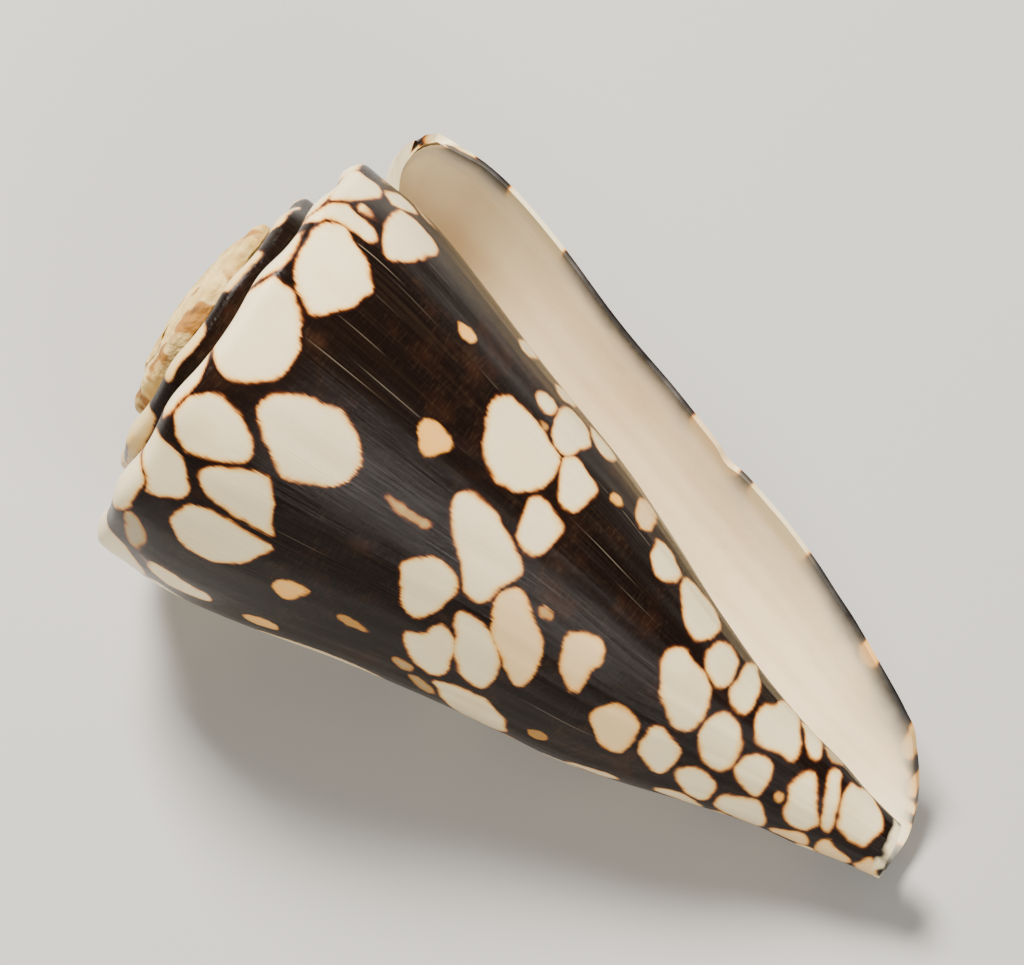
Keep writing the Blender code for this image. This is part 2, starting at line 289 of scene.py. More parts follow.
def ramp_sheet(column, row):
    """Ramp of all whorls, and their shoulder's edge down to the next whorl's suture."""
    turn = (column - LAST_COLUMN) * FULL_TURN / COLUMNS
    part = np.minimum(1.0, row / RAMP_STEPS)
    depth = np.maximum(0.0, row - RAMP_STEPS) / EDGE_STEPS * suture_depth(turn)
    on_ramp = row <= RAMP_STEPS
    swept = turn + np.where(on_ramp, notch_sweep(part), 0.0)
    ramp, edge = ramp_point(swept, part), wall_point(turn, depth)
    radius, height = (np.where(on_ramp, ramp[i], edge[i]) for i in range(2))
    width = ramp_point(turn, np.ones_like(turn))[0] - ramp_point(turn, np.zeros_like(turn))[0]
    down = np.where(on_ramp, (part - 1.0) * width, depth * side_length(turn))
    return turn, swept, radius, height, down, np.zeros_like(turn)


def side_sheet(column, row):
    """Side of the last whorl, and of the whorl before it as far as the aperture shows it."""
    turn = (column + BODY_START - CAVITY_COLUMNS - LAST_COLUMN) * FULL_TURN / COLUMNS
    depth = side_depths(turn, row)
    swept = turn + corner_sweep(turn, depth)
    radius, height = wall_point(swept, depth)
    return turn, swept, radius, height, depth * side_length(turn), np.zeros_like(turn)


def inner_sheet(column, row):
    """Inside of the wall behind the lip: under the ramp, then down inside the side."""
    turn = (column - CAVITY_COLUMNS) * FULL_TURN / COLUMNS
    part = np.minimum(row / (UNDER_STEPS + 1), 1.0)
    under = turn + notch_sweep(part)
    wall = thickness(under, 0.0)
    radius, height = ramp_point(under, part)
    radius = radius - wall * part
    height = height - wall * (1.0 + (INNER_SHOULDER - 1.0) * part)
    older = turn - BACK * FULL_TURN / COLUMNS
    root = wall_point(older, side_depths(older, np.ones_like(row)))
    radius, height = np.where(row < 0.5, root[0], radius), np.where(row < 0.5, root[1], height)
    swept = np.where(row < 0.5, older, under)
    depth = side_depths(turn, np.maximum(row - UNDER_STEPS, 1.0))
    below = turn + corner_sweep(turn, depth)
    side = wall_point(below, depth)
    on_side = row > UNDER_STEPS + 0.5
    return (turn, np.where(on_side, below, swept),
            np.where(on_side, side[0] - thickness(below, depth), radius),
            np.where(on_side, side[1], height), depth * side_length(turn), np.ones_like(turn))


def add_sheet(name, columns, rows, follow_growth):
    """A grid of the sheet's columns and rows, with each point moved to its place on the coil."""
    bpy.ops.mesh.primitive_grid_add(x_subdivisions=columns, y_subdivisions=rows, size=1.0)
    sheet = bpy.context.active_object
    sheet.name = name
    flat = np.empty(len(sheet.data.vertices) * 3)
    sheet.data.vertices.foreach_get("co", flat)
    flat = flat.reshape(-1, 3)
    column = np.round((flat[:, 0] + 0.5) * columns)
    row = np.round((flat[:, 1] + 0.5) * rows)
    grown, turn, radius, height, down, inside = follow_growth(column, row)
    sheet.data.vertices.foreach_set("co", in_shell_frame(turn, radius, height).ravel())
    place = column * PLACE_STEP + row + 1
    for label, values in (("grown", grown), ("turn", turn), ("down", down), ("inside", inside)):
        attribute = sheet.data.attributes.new(label, "FLOAT", "POINT")
        attribute.data.foreach_set("value", values)
    attribute = sheet.data.attributes.new(name + "_place", "INT", "POINT")
    attribute.data.foreach_set("value", place.astype(int))
    return sheet


bpy.ops.object.select_all(action="DESELECT")
sheets = [
    add_sheet("ramp", LAST_COLUMN, RAMP_STEPS + EDGE_STEPS, ramp_sheet),
    add_sheet("side", BACK + CAVITY_COLUMNS, SIDE_STEPS, side_sheet),
    add_sheet("inner", CAVITY_COLUMNS, UNDER_STEPS + SIDE_STEPS, inner_sheet),
]
for sheet in sheets:
    sheet.select_set(True)
bpy.ops.object.join()
shell = bpy.context.active_object
shell.name = "marble_cone_shell"

# Sewing: the free edges of the three sheets meet along the lip, the anterior rim, the far end of
# the cavity, the rolled wall's end and the worn apex
APEX_RINGS = (0.85, 0.68, 0.5, 0.32, 0.15)
MERGE_DISTANCE = 1e-6
# The shoulder's edge is softened this far down, except next to the lip
SHOULDER_ROUNDING, SHOULDER_LIP, SHOULDER_PASSES = 0.0016, 0.03, 5

bpy.ops.object.mode_set(mode="EDIT")
wall = bmesh.from_edit_mesh(shell.data)
point_at = {}
for name in ("ramp", "side", "inner"):
    layer = wall.verts.layers.int[name + "_place"]
    for vert in wall.verts:
        if vert[layer]:
            point_at[name, vert[layer]] = vert
down_layer, turn_layer = wall.verts.layers.float["down"], wall.verts.layers.float["turn"]


def point(name, column, row):
    return point_at[name, column * PLACE_STEP + row + 1]


def sew(first, second):
    """A strip of faces between two lines of as many points. A point may be there more than once."""
    for low, high in zip(zip(first, first[1:]), zip(second, second[1:])):
        corners = []
        for vert in (low[0], low[1], high[1], high[0]):
            if vert not in corners:
                corners.append(vert)
        if len(corners) > 2:
            wall.faces.new(corners)


# The strip of the older whorl that the newer wall stands on is inside the material
covered = {point("side", column, row) for column in range(CAVITY_COLUMNS + 1) for row in (0, 1)}
buried = [face for face in wall.faces if all(vert in covered for vert in face.verts)]
bmesh.ops.delete(wall, geom=buried, context="FACES")

last_side = BACK + CAVITY_COLUMNS
outer_lip = [point("ramp", LAST_COLUMN, row) for row in range(RAMP_STEPS + EDGE_STEPS + 1)]
outer_lip += [point("side", last_side, row) for row in range(1, SIDE_STEPS + 1)]
inner_lip = [point("inner", CAVITY_COLUMNS, row) for row in range(UNDER_STEPS + SIDE_STEPS + 1)]
sew(outer_lip, inner_lip)
sew([point("side", BACK + column, SIDE_STEPS) for column in range(CAVITY_COLUMNS + 1)],
    [point("inner", column, UNDER_STEPS + SIDE_STEPS) for column in range(CAVITY_COLUMNS + 1)])
sew([point("side", 0, max(1, row - UNDER_STEPS)) for row in range(UNDER_STEPS + SIDE_STEPS + 1)],
    [point("inner", 0, row) for row in range(UNDER_STEPS + SIDE_STEPS + 1)])

rolled_end = [point("side", column, SIDE_STEPS) for column in range(BACK + 1)]
rolled_end.append(point("inner", 0, UNDER_STEPS + SIDE_STEPS))
rolled_end.append(rolled_end[0])
end_centre = wall.verts.new(in_shell_frame(0.0, 0.0, np.array(END_RISE - BODY_LENGTH)))
end_centre[down_layer] = BODY_LENGTH
sew(rolled_end, [end_centre] * len(rolled_end))

ring = [point("ramp", column, 0) for column in range(BACK + 1)]
ring += [point("ramp", 0, row) for row in range(RAMP_STEPS + EDGE_STEPS - 1, -1, -1)]
rim = [vert.co.copy() for vert in ring]
apex_turn = -LAST_COLUMN * FULL_TURN / COLUMNS
for part in APEX_RINGS:
    inside = []
    for spot in rim[:-1]:
        flat = part * spot.xy
        vert = wall.verts.new((flat.x, flat.y, dome_height(flat.length)))
        vert[turn_layer] = apex_turn
        inside.append(vert)
    inside.append(inside[0])
    sew(ring, inside)
    ring = inside
apex = wall.verts.new((0.0, 0.0, WORN_TOP))
apex[turn_layer] = apex_turn
sew(ring, [apex] * len(ring))
bmesh.update_edit_mesh(shell.data)
bpy.ops.mesh.select_all(action="SELECT")
bpy.ops.mesh.remove_doubles(threshold=MERGE_DISTANCE)
bpy.ops.mesh.normals_make_consistent(inside=False)
bpy.ops.mesh.select_all(action="DESELECT")
bpy.ops.mesh.select_mode(type="VERT")
inside_layer, ramp_layer = wall.verts.layers.float["inside"], wall.verts.layers.int["ramp_place"]
for vert in wall.verts:
    row = (vert[ramp_layer] - 1) % PLACE_STEP
    on_edge = abs(vert[down_layer]) < SHOULDER_ROUNDING and vert[turn_layer] < -SHOULDER_LIP
    vert.select = vert[inside_layer] < 0.5 and on_edge and 0 < row < UNDER_STEPS
wall.select_flush(True)
bpy.ops.mesh.vertices_smooth(factor=0.5, repeat=SHOULDER_PASSES)

# Markings: cream patches on a nearly black ground, each with an ochre edge. Those in the two
# views of the photograph were read off it as outlines, in its pixels. The rest follow
# the same bands. A patch is a closed line on the wall, in turns and metres down the side.
CLEAN, VEILED = 1.0, 0.45
WHITE, BUFF, TAN, OCHRE = 0.0, 0.4, 0.85, 1.0

# Outlines from the view of the aperture: warmth, clarity, then x, y for each point
SIDE_PATCHES = (
    (WHITE, CLEAN, (-28, 176, 0, 182, 17, 187, 25, 192, 32, 197, 36, 203, 36, 208, 30, 210, 17, 212, 0, 216,
        -25, 220, -38, 200)),
    (WHITE, VEILED, (31, 186, 38, 188, 50, 194, 62, 204, 72, 216, 84, 232, 92, 241, 86, 237, 78, 229,
        72, 221, 66, 211, 57, 204, 46, 197, 38, 193)),
    (WHITE, CLEAN, (39, 202, 48, 201.5, 57, 207, 64, 213.5, 69, 220, 71, 224, 61, 222, 51, 219, 43, 215,
        39.5, 209)),
    (WHITE, CLEAN, (50, 221, 57, 222, 67, 229, 76, 238, 84, 247, 90, 256, 93, 266, 83, 269, 72, 273, 60, 276,
        50, 276, 43, 272, 39, 264, 38, 254, 40, 240, 44, 229)),
    (WHITE, CLEAN, (13, 219, 18, 217, 23, 220, 29, 227, 33, 234, 26, 235, 19, 232, 14, 226)),
    (WHITE, CLEAN, (14, 242, 18, 237, 24, 238, 31, 242, 34, 249, 33, 256, 27, 258, 20, 255, 15, 250)),
    (WHITE, CLEAN, (0, 241, 7, 247, 11, 255, 16, 264, 22, 272, 26, 281, 25, 288, 27, 295, 31, 303, 27, 308,
        19, 313, 9, 320, 0, 324, -25, 332, -42, 315, -45, 285, -38, 258, -20, 236)),
    (TAN, CLEAN, (112, 331, 117, 335, 124, 340, 131, 349, 131, 353, 124, 354, 118, 350, 114, 343)),
    (WHITE, CLEAN, (172, 352, 175, 347.5, 180, 348.5, 186, 355, 191, 363, 191, 367.5, 183, 366, 176.5, 361)),
    (TAN, CLEAN, (79, 429, 85, 429, 94, 436, 102, 444, 110, 452, 106, 458, 96, 462, 88, 466, 82, 467,
        76, 460, 74, 449, 75, 438)),
    (WHITE, CLEAN, (143, 415, 147, 408, 153, 404.5, 162, 406, 170, 413, 178, 418, 187, 427, 194, 437,
        202, 451, 210, 462, 213, 469, 211, 478, 207, 486, 200, 493, 191, 499, 180, 501.5, 169, 503.5,
        163, 500, 161, 495, 155, 496, 148, 490, 145, 481, 139, 472, 137, 461, 138, 446, 140, 431)),
    (WHITE, CLEAN, (189, 404, 193, 401, 199, 402, 205, 408, 210, 415, 209, 421, 204, 425, 199, 424, 193, 420,
        190, 412)),
    (WHITE, CLEAN, (210, 425, 214, 416, 220, 416, 228, 421, 235, 430, 240, 437, 243, 448, 244, 455, 236, 458,
        229, 461, 221, 464, 213, 462, 207, 455, 204, 446, 206, 436)),
    (WHITE, CLEAN, (208, 392, 211, 386, 218, 395, 226, 405, 233, 413, 236, 419, 229, 416, 221, 413.5,
        213, 407, 210, 400)),
    (BUFF, VEILED, (193, 430, 198, 432, 202, 438, 198, 439, 194, 435)),
    (WHITE, CLEAN, (243, 435, 249, 440, 257, 450, 266, 461, 270, 468, 263, 471, 255, 466, 249, 457,
        245, 448)),
    (WHITE, CLEAN, (218, 468, 226, 466.5, 233, 470, 240, 480, 245, 489, 250, 498, 245, 506, 237, 515,
        227, 520, 220, 519, 213, 514, 210, 506, 211, 493, 212, 480, 215, 471)),
    (OCHRE, CLEAN, (262, 504, 267, 502, 273, 506, 277, 513, 274, 516, 268, 514, 263, 509)),
    (BUFF, CLEAN, (291, 508, 297, 509, 303, 513, 309, 523, 308, 531, 303, 537, 297, 539, 291, 534, 288, 526,
        289, 516)),
    (WHITE, CLEAN, (308, 549, 314, 551, 321, 557, 328, 567, 333, 578, 335, 586, 328, 590, 318, 591, 310, 587,
        306, 580, 302, 567, 304, 559)),
    (WHITE, CLEAN, (180, 507, 185, 504.5, 191, 505, 197, 508, 203, 517, 209, 525, 213, 531, 216, 539,
        211, 545, 204, 552, 197, 559, 191, 564, 183, 564, 175, 559, 171, 550, 170, 541, 173, 529, 176, 517)),
    (WHITE, CLEAN, (110, 504, 116, 500, 123, 500.5, 133, 505, 142, 513, 150, 523, 156, 534, 160, 542,
        166, 549, 171, 559, 174, 568, 175.5, 576, 171, 583, 163, 589, 155, 593, 148, 600, 143, 606, 135, 610,
        128, 609, 121, 604, 118, 595, 116.5, 585, 117, 577, 113, 567, 110, 556, 107, 542, 106.5, 530,
        107.5, 516)),
    (WHITE, CLEAN, (57, 571, 62, 568, 70, 567, 80, 565, 89, 565, 98, 569, 107, 577, 112.5, 585, 113, 593,
        110, 601, 101, 607, 93, 615, 83, 622, 73, 625.5, 65, 623, 58, 616, 56, 603, 55, 590, 56, 578)),
    (WHITE, CLEAN, (57, 639, 62, 637, 70, 640, 79, 641, 86, 635, 93, 631.5, 101, 635, 107.5, 643, 108, 652,
        105, 663, 102, 673, 98, 681, 91, 684, 83, 682, 74, 675, 67, 667, 61, 657, 57.5, 648)),
    (WHITE, CLEAN, (110, 623, 113, 618, 120, 618, 130, 624, 138, 630, 143, 638, 147, 648, 151, 658, 153, 667,
        151.5, 680, 146.5, 690, 138, 696, 130, 695, 120, 688, 113, 680, 109, 668, 108.5, 653, 110.5, 643,
        109, 633)),
    (BUFF, CLEAN, (148, 612, 153, 603, 160, 597, 168, 595, 175, 598, 180, 607, 185, 620, 189, 634, 194, 643,
        196.5, 650, 195, 663, 190, 678, 182, 688, 173, 693, 165, 690, 160, 680, 158, 670, 153, 658, 148, 648,
        144.5, 637, 145, 624)),
    (BUFF, CLEAN, (214.5, 647, 219, 640.5, 230, 639.5, 243, 640, 251, 644, 256, 653, 254, 663, 250, 671,
        243, 676, 240, 682, 236.5, 691, 232, 698, 225, 698.5, 219, 691, 214, 680, 212, 667, 213, 655)),
    (WHITE, CLEAN, (313.5, 672, 316, 662, 321.5, 654, 330, 654, 338, 658, 344, 666, 350, 674, 357, 682,
        361, 692, 363, 700, 361.5, 708, 358, 720, 353, 730, 345, 738, 335, 740, 327, 735, 321.5, 725,
        316.5, 713, 311, 700, 310, 689, 312, 679)),
    (WHITE, CLEAN, (333, 590, 338, 586, 344, 588, 350, 595, 357, 604, 364, 613, 370, 623, 373.5, 632,
        372, 640, 366, 646, 357, 649.5, 348, 648, 341, 641, 336.5, 631, 334.5, 620, 332.5, 607)),
    (WHITE, CLEAN, (358, 658, 365, 653, 371, 648.5, 378, 649.5, 383, 653, 386, 659, 391, 666, 392.5, 672,
        388, 680, 383, 688, 377, 694, 370, 695.5, 365, 691, 361, 681, 357.5, 672, 357, 664)),
    (WHITE, CLEAN, (393, 679, 399, 673, 405.5, 671, 411, 675, 412, 683, 414, 692, 412, 702, 407, 710,
        402.5, 718, 396.5, 723.5, 391, 722.5, 385, 716, 381, 706.5, 381, 698, 386.5, 693, 391.5, 687)),
    (WHITE, CLEAN, (410, 720, 416, 712, 425, 713.5, 431, 713, 438, 705, 443, 707, 448, 713, 453, 723,
        453, 732, 454.5, 747, 453, 760, 448, 768, 441, 769, 435, 763, 428, 759, 418, 756.5, 410, 748,
        405.5, 738, 407.5, 728)),
    (WHITE, CLEAN, (352, 736, 358, 728, 367, 723, 377, 720, 383, 722.5, 390, 730, 394, 739, 394, 751,
        390, 763, 385, 773, 377, 779, 368, 779, 360, 773, 353.5, 763, 351, 751, 350, 743)),
    (BUFF, CLEAN, (243.5, 720, 248, 715, 257, 712.5, 265, 710, 272, 711, 280, 716.5, 288, 723, 292.5, 731,
        291, 739, 286.5, 747, 280, 755, 273, 761, 266, 761, 258, 757, 251.5, 750, 246.5, 740, 243, 729)),
    (WHITE, CLEAN, (300, 737, 305, 733, 313, 734, 318, 740, 325, 746, 332, 751.5, 331.5, 759, 328, 767,
        323, 775, 316.5, 781, 310, 782, 303, 777, 296.5, 768, 292, 760, 292, 750, 296.5, 742)),
    (WHITE, CLEAN, (326.5, 779, 333, 775, 345, 774, 356, 778, 364, 784.5, 367.5, 792, 366, 802, 361.5, 809,
        355, 810.5, 346, 807, 338, 800, 331.5, 792, 327, 785)),
    (WHITE, CLEAN, (388.5, 773, 395, 767, 405, 762.5, 415, 762.5, 421.5, 766.5, 425, 773, 425, 782, 421, 792,
        417, 800, 410, 805, 403, 802.5, 396.5, 797, 391, 788, 387.5, 780)),
    (WHITE, CLEAN, (370, 809, 374, 805.5, 385, 805, 398, 806.5, 408, 808, 414, 812, 418, 821, 419.5, 832,
        417, 840, 400, 834, 383, 826, 369, 817)),
    (WHITE, CLEAN, (456, 733, 457.5, 728.5, 461.5, 728, 467, 735, 472, 743, 475, 750, 475, 759, 473.5, 767,
        467, 768, 462, 763, 459.5, 753, 457.5, 743)),
    (WHITE, VEILED, (479, 756, 484, 753, 492, 761, 500, 771, 504, 778, 497, 775, 489, 773, 482, 769)),
    (WHITE, CLEAN, (441.5, 792, 449, 784, 458, 780, 465, 778.5, 470, 782, 470.5, 794, 470, 810, 471, 823,
        472, 833, 466, 837, 458, 840, 448, 838, 440, 833, 437.5, 825, 439, 815, 441.5, 806, 440.5, 798)),
    (WHITE, CLEAN, (483, 781, 489, 778, 495, 781, 494, 793, 492.5, 807, 490, 818, 487, 831, 483, 841,
        478, 841, 475, 833, 475.5, 820, 477.5, 806, 479.5, 793)),
    (WHITE, CLEAN, (498, 801, 503, 792, 507, 792, 511, 797.5, 520, 798.5, 526, 806, 532, 816, 536, 825,
        537.5, 834, 535, 843, 528, 850, 522, 856, 515, 857, 506.5, 852.5, 500, 845, 493.5, 840, 490.5, 831,
        493, 818, 495.5, 808)),
    (WHITE, CLEAN, (84, 688, 90, 688.5, 101, 690, 115, 696, 128, 701.5, 140, 708, 150, 718, 157.5, 726,
        160.5, 734, 158, 744, 138, 739, 120, 730, 106, 719, 98, 710, 91, 698)),
    (BUFF, VEILED, (62.5, 683, 70, 684, 80, 691, 88, 699, 85, 703, 75, 699, 67, 691)),
    (BUFF, VEILED, (47, 665, 54, 666.5, 65, 673, 66, 678, 58, 678.5, 50, 672)),
    (TAN, VEILED, (-6, 622, 3, 625, 12, 630, 22, 637, 25, 639.5, 16, 639, 6, 633, -5, 627)),
    (TAN, VEILED, (180, 739, 187, 738, 197, 741, 201, 746, 195, 749, 185, 745)),
    (WHITE, CLEAN, (307, 798.5, 317, 798.5, 333, 802, 344, 808, 356, 816, 362, 821, 345, 815, 325, 808,
        312, 803)),
    (TAN, CLEAN, (427, 803, 431, 800, 436, 801, 437, 807, 433, 811, 428, 808)),
    (BUFF, VEILED, (191, 615, 196, 614, 202, 618, 205, 623, 199, 625, 193, 620)),
    (WHITE, VEILED, (40, 500, 55, 510, 70, 522, 82, 528, 88, 534, 82, 538, 72, 532, 60, 524, 45, 512)),
    (BUFF, CLEAN, (471, 851, 478, 849, 486, 850, 489, 857, 494, 862, 500, 866, 507, 873, 500, 877, 488, 873,
        476, 868, 469, 860)),
    (BUFF, CLEAN, (424, 838, 440, 840, 455, 841.5, 462, 847, 464, 857, 450, 853, 435, 846, 424, 842)),
    (BUFF, CLEAN, (508, 875, 516, 872, 524, 867, 528, 872, 531, 880, 532, 888, 523, 892, 514, 887)),
)

# Outlines on the spire, from the view of the apex: warmth, clarity, then for each point its angle
# clockwise in degrees and its distance in pixels from a place just beside the apex
SPIRE_PATCHES = (
    (WHITE, CLEAN, (-330, 177, -330, 168, -328, 156, -325, 147, -322, 139, -318, 136, -313, 136, -309, 140,
        -306.5, 147, -308, 152, -313, 153, -315, 160, -314, 168, -309, 172, -306, 175, -314, 178, -322, 180,
        -328, 181)),
    (WHITE, CLEAN, (-304, 170, -300, 176, -295, 179, -291, 180, -287, 176, -285.5, 169, -284, 161, -283, 156,
        -286, 151, -290, 147, -295, 148, -300, 149, -303.5, 152, -304, 160)),
    (WHITE, CLEAN, (-275.5, 165, -275, 170, -272, 175, -268, 180, -262, 182.5, -257, 182.5, -254.5, 178,
        -253, 170, -252, 162, -249, 158, -245.5, 153, -243, 147, -244.5, 141, -249, 137, -256, 136,
        -262, 138, -266.5, 144, -269, 150, -270, 160, -272, 164)),
    (WHITE, CLEAN, (-247.5, 178, -244, 183, -240, 187.5, -235, 192, -231, 194.5, -227, 192, -224.5, 186,
        -223, 178, -224, 170, -226, 162, -231, 156, -235.5, 153.5, -239, 157, -242, 164, -243.5, 171)),
    (WHITE, CLEAN, (-207, 168, -207.5, 162, -205, 158, -202, 157, -197, 158.5, -190, 161.5, -183, 163.5,
        -178, 166, -178, 172, -180, 178, -183.5, 185, -186.5, 192, -186, 200, -184, 207, -184, 213,
        -191, 213, -198, 207, -202, 198, -204.5, 187, -206, 177)),
    (WHITE, CLEAN, (-171.5, 183, -172.5, 190, -171, 204, -170, 218, -167, 225, -163, 231, -157, 232,
        -153.5, 229, -153, 220, -152, 211, -150.5, 201, -147.5, 192, -149.5, 185, -156, 181, -164, 178,
        -169, 178)),
    (WHITE, CLEAN, (-142, 218, -142, 227, -140.5, 236, -136, 242, -129, 247, -123, 248, -123, 237,
        -119.5, 234, -118.5, 225, -120, 213, -126, 207.5, -133, 201, -138, 197.5, -140, 201, -141.5, 209)),
    (WHITE, CLEAN, (-105.5, 230, -105, 239, -103, 247, -99, 252.5, -94, 253.5, -90.5, 249, -90, 236,
        -88, 229, -86.5, 220, -85, 212, -81, 207.5, -75.5, 202, -71.5, 195, -71, 188, -75.5, 184.5, -83, 185,
        -90, 184.5, -97, 184.5, -99.5, 190, -102, 199, -104, 211, -105.5, 222)),
    (WHITE, CLEAN, (-78, 232, -78, 246, -76, 257, -72.5, 260, -67, 259.5, -63, 252, -61.5, 241, -61, 229,
        -59, 216, -56.5, 211, -52.5, 206, -50, 200, -51, 188, -57, 187, -62, 190, -65, 199, -70, 205,
        -73.5, 211, -75, 220, -75.5, 228)),
    (WHITE, CLEAN, (-40, 229, -39.5, 241, -37.5, 255, -34.5, 265, -30, 264, -25, 259, -17, 260, -16, 256,
        -21, 253, -24, 247, -27.5, 243, -27.5, 236, -25.5, 227, -23.5, 219, -20, 212, -18, 202, -15.5, 194,
        -18, 188, -23.5, 186.5, -30.5, 188, -35, 195, -38.5, 204, -40, 216)),
    (WHITE, CLEAN, (-10, 222, -9.5, 238, -7, 249, -3, 256, 2, 258, 9, 255, 13, 252, 10, 247, 5.5, 245,
        7, 234, 7.5, 220, 5, 209, 0, 200.5, -5.5, 195, -8.5, 199, -10.5, 209)),
    (WHITE, CLEAN, (17, 225, 16.5, 241, 17.5, 251, 21.5, 256, 26.5, 256, 31, 251, 33, 241, 31.5, 231,
        28.5, 223, 24.5, 212, 22, 200, 20.5, 204, 19, 213)),
    (WHITE, CLEAN, (-116, 250, -108, 256, -103, 257, -98, 252, -101, 248, -105, 240, -108, 237, -113, 238,
        -115, 243)),
    (WHITE, CLEAN, (-102.5, 258, -97, 263, -88, 267, -80, 269, -81.5, 265, -87, 262, -95, 259)),
    (WHITE, CLEAN, (-92.5, 256, -90, 259.5, -86, 259.7, -83.5, 257.5, -86, 254, -90, 253)),
    (WHITE, CLEAN, (-88, 247, -86, 251, -82.5, 256, -80, 258.5, -79, 256, -79.5, 250, -82, 246, -85.5, 245)),
    (WHITE, CLEAN, (-79, 262, -78.5, 267, -72, 269, -66, 267.5, -66, 262.5, -70, 260.5, -75, 261.5)),
    (WHITE, CLEAN, (-66.5, 262, -63, 265.5, -57.5, 265, -56, 261.5, -59, 258, -64, 258)),
    (WHITE, CLEAN, (-56.5, 256, -55, 261, -51, 263.5, -47, 260, -46, 254, -49, 247.5, -53, 246.5, -56, 250)),
    (WHITE, CLEAN, (-50, 264, -49, 269, -42, 270, -37, 266, -38, 261, -42, 259, -46, 261)),
    (WHITE, VEILED, (-47.5, 243, -46.5, 252, -43, 257.5, -40.5, 257, -42, 250, -44.5, 244)),
    (WHITE, CLEAN, (-14, 259, -11, 261, -6, 258.5, -7, 256, -12, 255.5)),
    (WHITE, VEILED, (-160, 231.5, -151, 235, -143, 239, -138, 242.5, -143, 237, -150, 232.5)),
    (WHITE, CLEAN, (-130, 247.5, -122, 253, -112, 257, -106, 258, -112, 253, -119, 250.5, -124, 248.5)),
    (WHITE, CLEAN, (0.5, 160, 0.5, 170, 2, 179, 5, 185, 10, 187, 14.5, 184, 16.5, 177, 17, 168, 20, 164,
        22.5, 159, 21, 153.5, 17, 149, 12.5, 147, 5, 149, 2.5, 154)),
    (BUFF, VEILED, (9.5, 144, 12.5, 147, 18.5, 143, 23, 137.5, 29, 131.5, 36, 126, 31, 125, 24, 126.5,
        17, 128, 11.5, 130, 10, 136)),
    (WHITE, CLEAN, (-315.5, 118, -314.5, 125, -310.5, 130, -304.5, 131, -299, 129, -295, 125, -293, 118,
        -291, 112, -287.5, 105, -288, 99, -293, 96.5, -299, 93.5, -304.5, 93, -309, 95.5, -314, 103,
        -315.5, 111)),
    (WHITE, CLEAN, (-283, 126, -280.5, 131, -274.5, 133.5, -267.5, 134, -262, 131, -258, 124, -257.5, 118,
        -255.5, 111, -257, 106, -263, 103, -270, 102, -277, 104, -280.5, 109, -281.5, 117)),
    (WHITE, CLEAN, (-246, 116, -245, 126, -244.5, 134, -242, 141, -236.5, 143, -228, 143, -223, 141,
        -221.5, 132, -220, 122, -218.5, 116, -221.5, 110, -228.5, 107, -235.5, 103.5, -241, 104.5,
        -245, 109)),
    (WHITE, CLEAN, (-209.5, 126, -208.5, 137, -207, 147, -204, 152, -198.5, 156.5, -192.5, 158, -186, 157.5,
        -184, 150, -186, 137, -188, 130, -190.5, 124, -195, 118, -201, 115, -207.5, 116.5)),
    (WHITE, CLEAN, (-170, 133, -170.5, 147, -169.5, 158, -166, 166, -159, 169.5, -152.5, 168.5, -150, 160,
        -149, 149, -146, 139.5, -142, 131, -145, 126, -155, 124, -165, 125, -170, 127)),
    (BUFF, CLEAN, (-136.5, 144, -135.5, 156, -134, 165, -130.5, 172, -123.5, 176, -116.5, 176, -112, 172,
        -112, 156, -114.5, 146, -117, 137, -119.5, 128, -126.5, 129, -133.5, 132.5)),
    (BUFF, CLEAN, (-100, 165, -97, 173, -88.5, 177.5, -78.5, 177.5, -75, 172, -76.5, 158, -77, 146.5,
        -74, 137, -69.5, 130, -70, 124, -81, 121.5, -92.5, 122.5, -99, 128, -100, 142, -100, 153)),
    (WHITE, CLEAN, (-57.5, 151, -56, 162.5, -57, 170, -50, 176, -43, 176.5, -40.5, 171, -40.5, 156,
        -39.5, 149, -34.5, 144, -31, 135, -31, 127, -37.5, 123.5, -46, 126, -53, 130.5, -58, 140)),
    (WHITE, CLEAN, (-31, 163, -31, 171, -29, 177, -23.5, 180.5, -14, 180.5, -10.5, 174, -10.5, 165, -14, 158,
        -16.5, 149, -22, 144, -27.5, 142, -29, 151)),
    (WHITE, CLEAN, (-10.5, 158, -6, 161.5, -3, 156, -1, 144, -1, 135, -5, 129.5, -11.5, 130, -15.5, 139.5,
        -15, 149)),
    (WHITE, CLEAN, (6, 118, 7, 124, 11.5, 128, 21, 126, 27.5, 117, 30.5, 111, 33.5, 105, 33, 99, 27.5, 96.5,
        19.5, 100, 14, 104, 10.5, 111)),
)

# Patches that the lip cuts off: warmth, first and last millimetre down the side, and how many
# degrees back they reach
LIP_PATCHES = (
    (WHITE, -9.0, -2.2, 5),
    (WHITE, -0.9, 4.7, 12),
    (WHITE, 9.4, 17.9, 15),
    (BUFF, 38.8, 46.0, 11),
    (WHITE, 47.9, 57.0, 16),
    (TAN, 66.9, 69.4, 8),
    (BUFF, 76.2, 78.3, 10),
    (TAN, 79.7, 80.9, 9),
)

# Outline of such a patch: share of its reach, and share of the way from its middle to its top
LIP_OUTLINE = ((0.4, -1.0), (0.9, -0.4), (1.0, 0.0), (0.85, 0.6), (0.3, 1.0))
PAST_LIP = 0.05

# Bands on the side that the photograph doesn't show: millimetres down, distance between patches,
# share of places that hold one, size of a patch against its room, and warmth
BANDS = (
    (1.5, 12.0, 5.4, 0.66, 0.96, WHITE),
    (12.0, 21.0, 6.4, 0.34, 0.36, TAN),
    (21.0, 42.0, 5.6, 0.72, 0.97, WHITE),
    (42.0, 50.0, 6.0, 0.45, 0.62, BUFF),
    (50.0, 81.0, 4.3, 0.80, 0.96, WHITE),
)

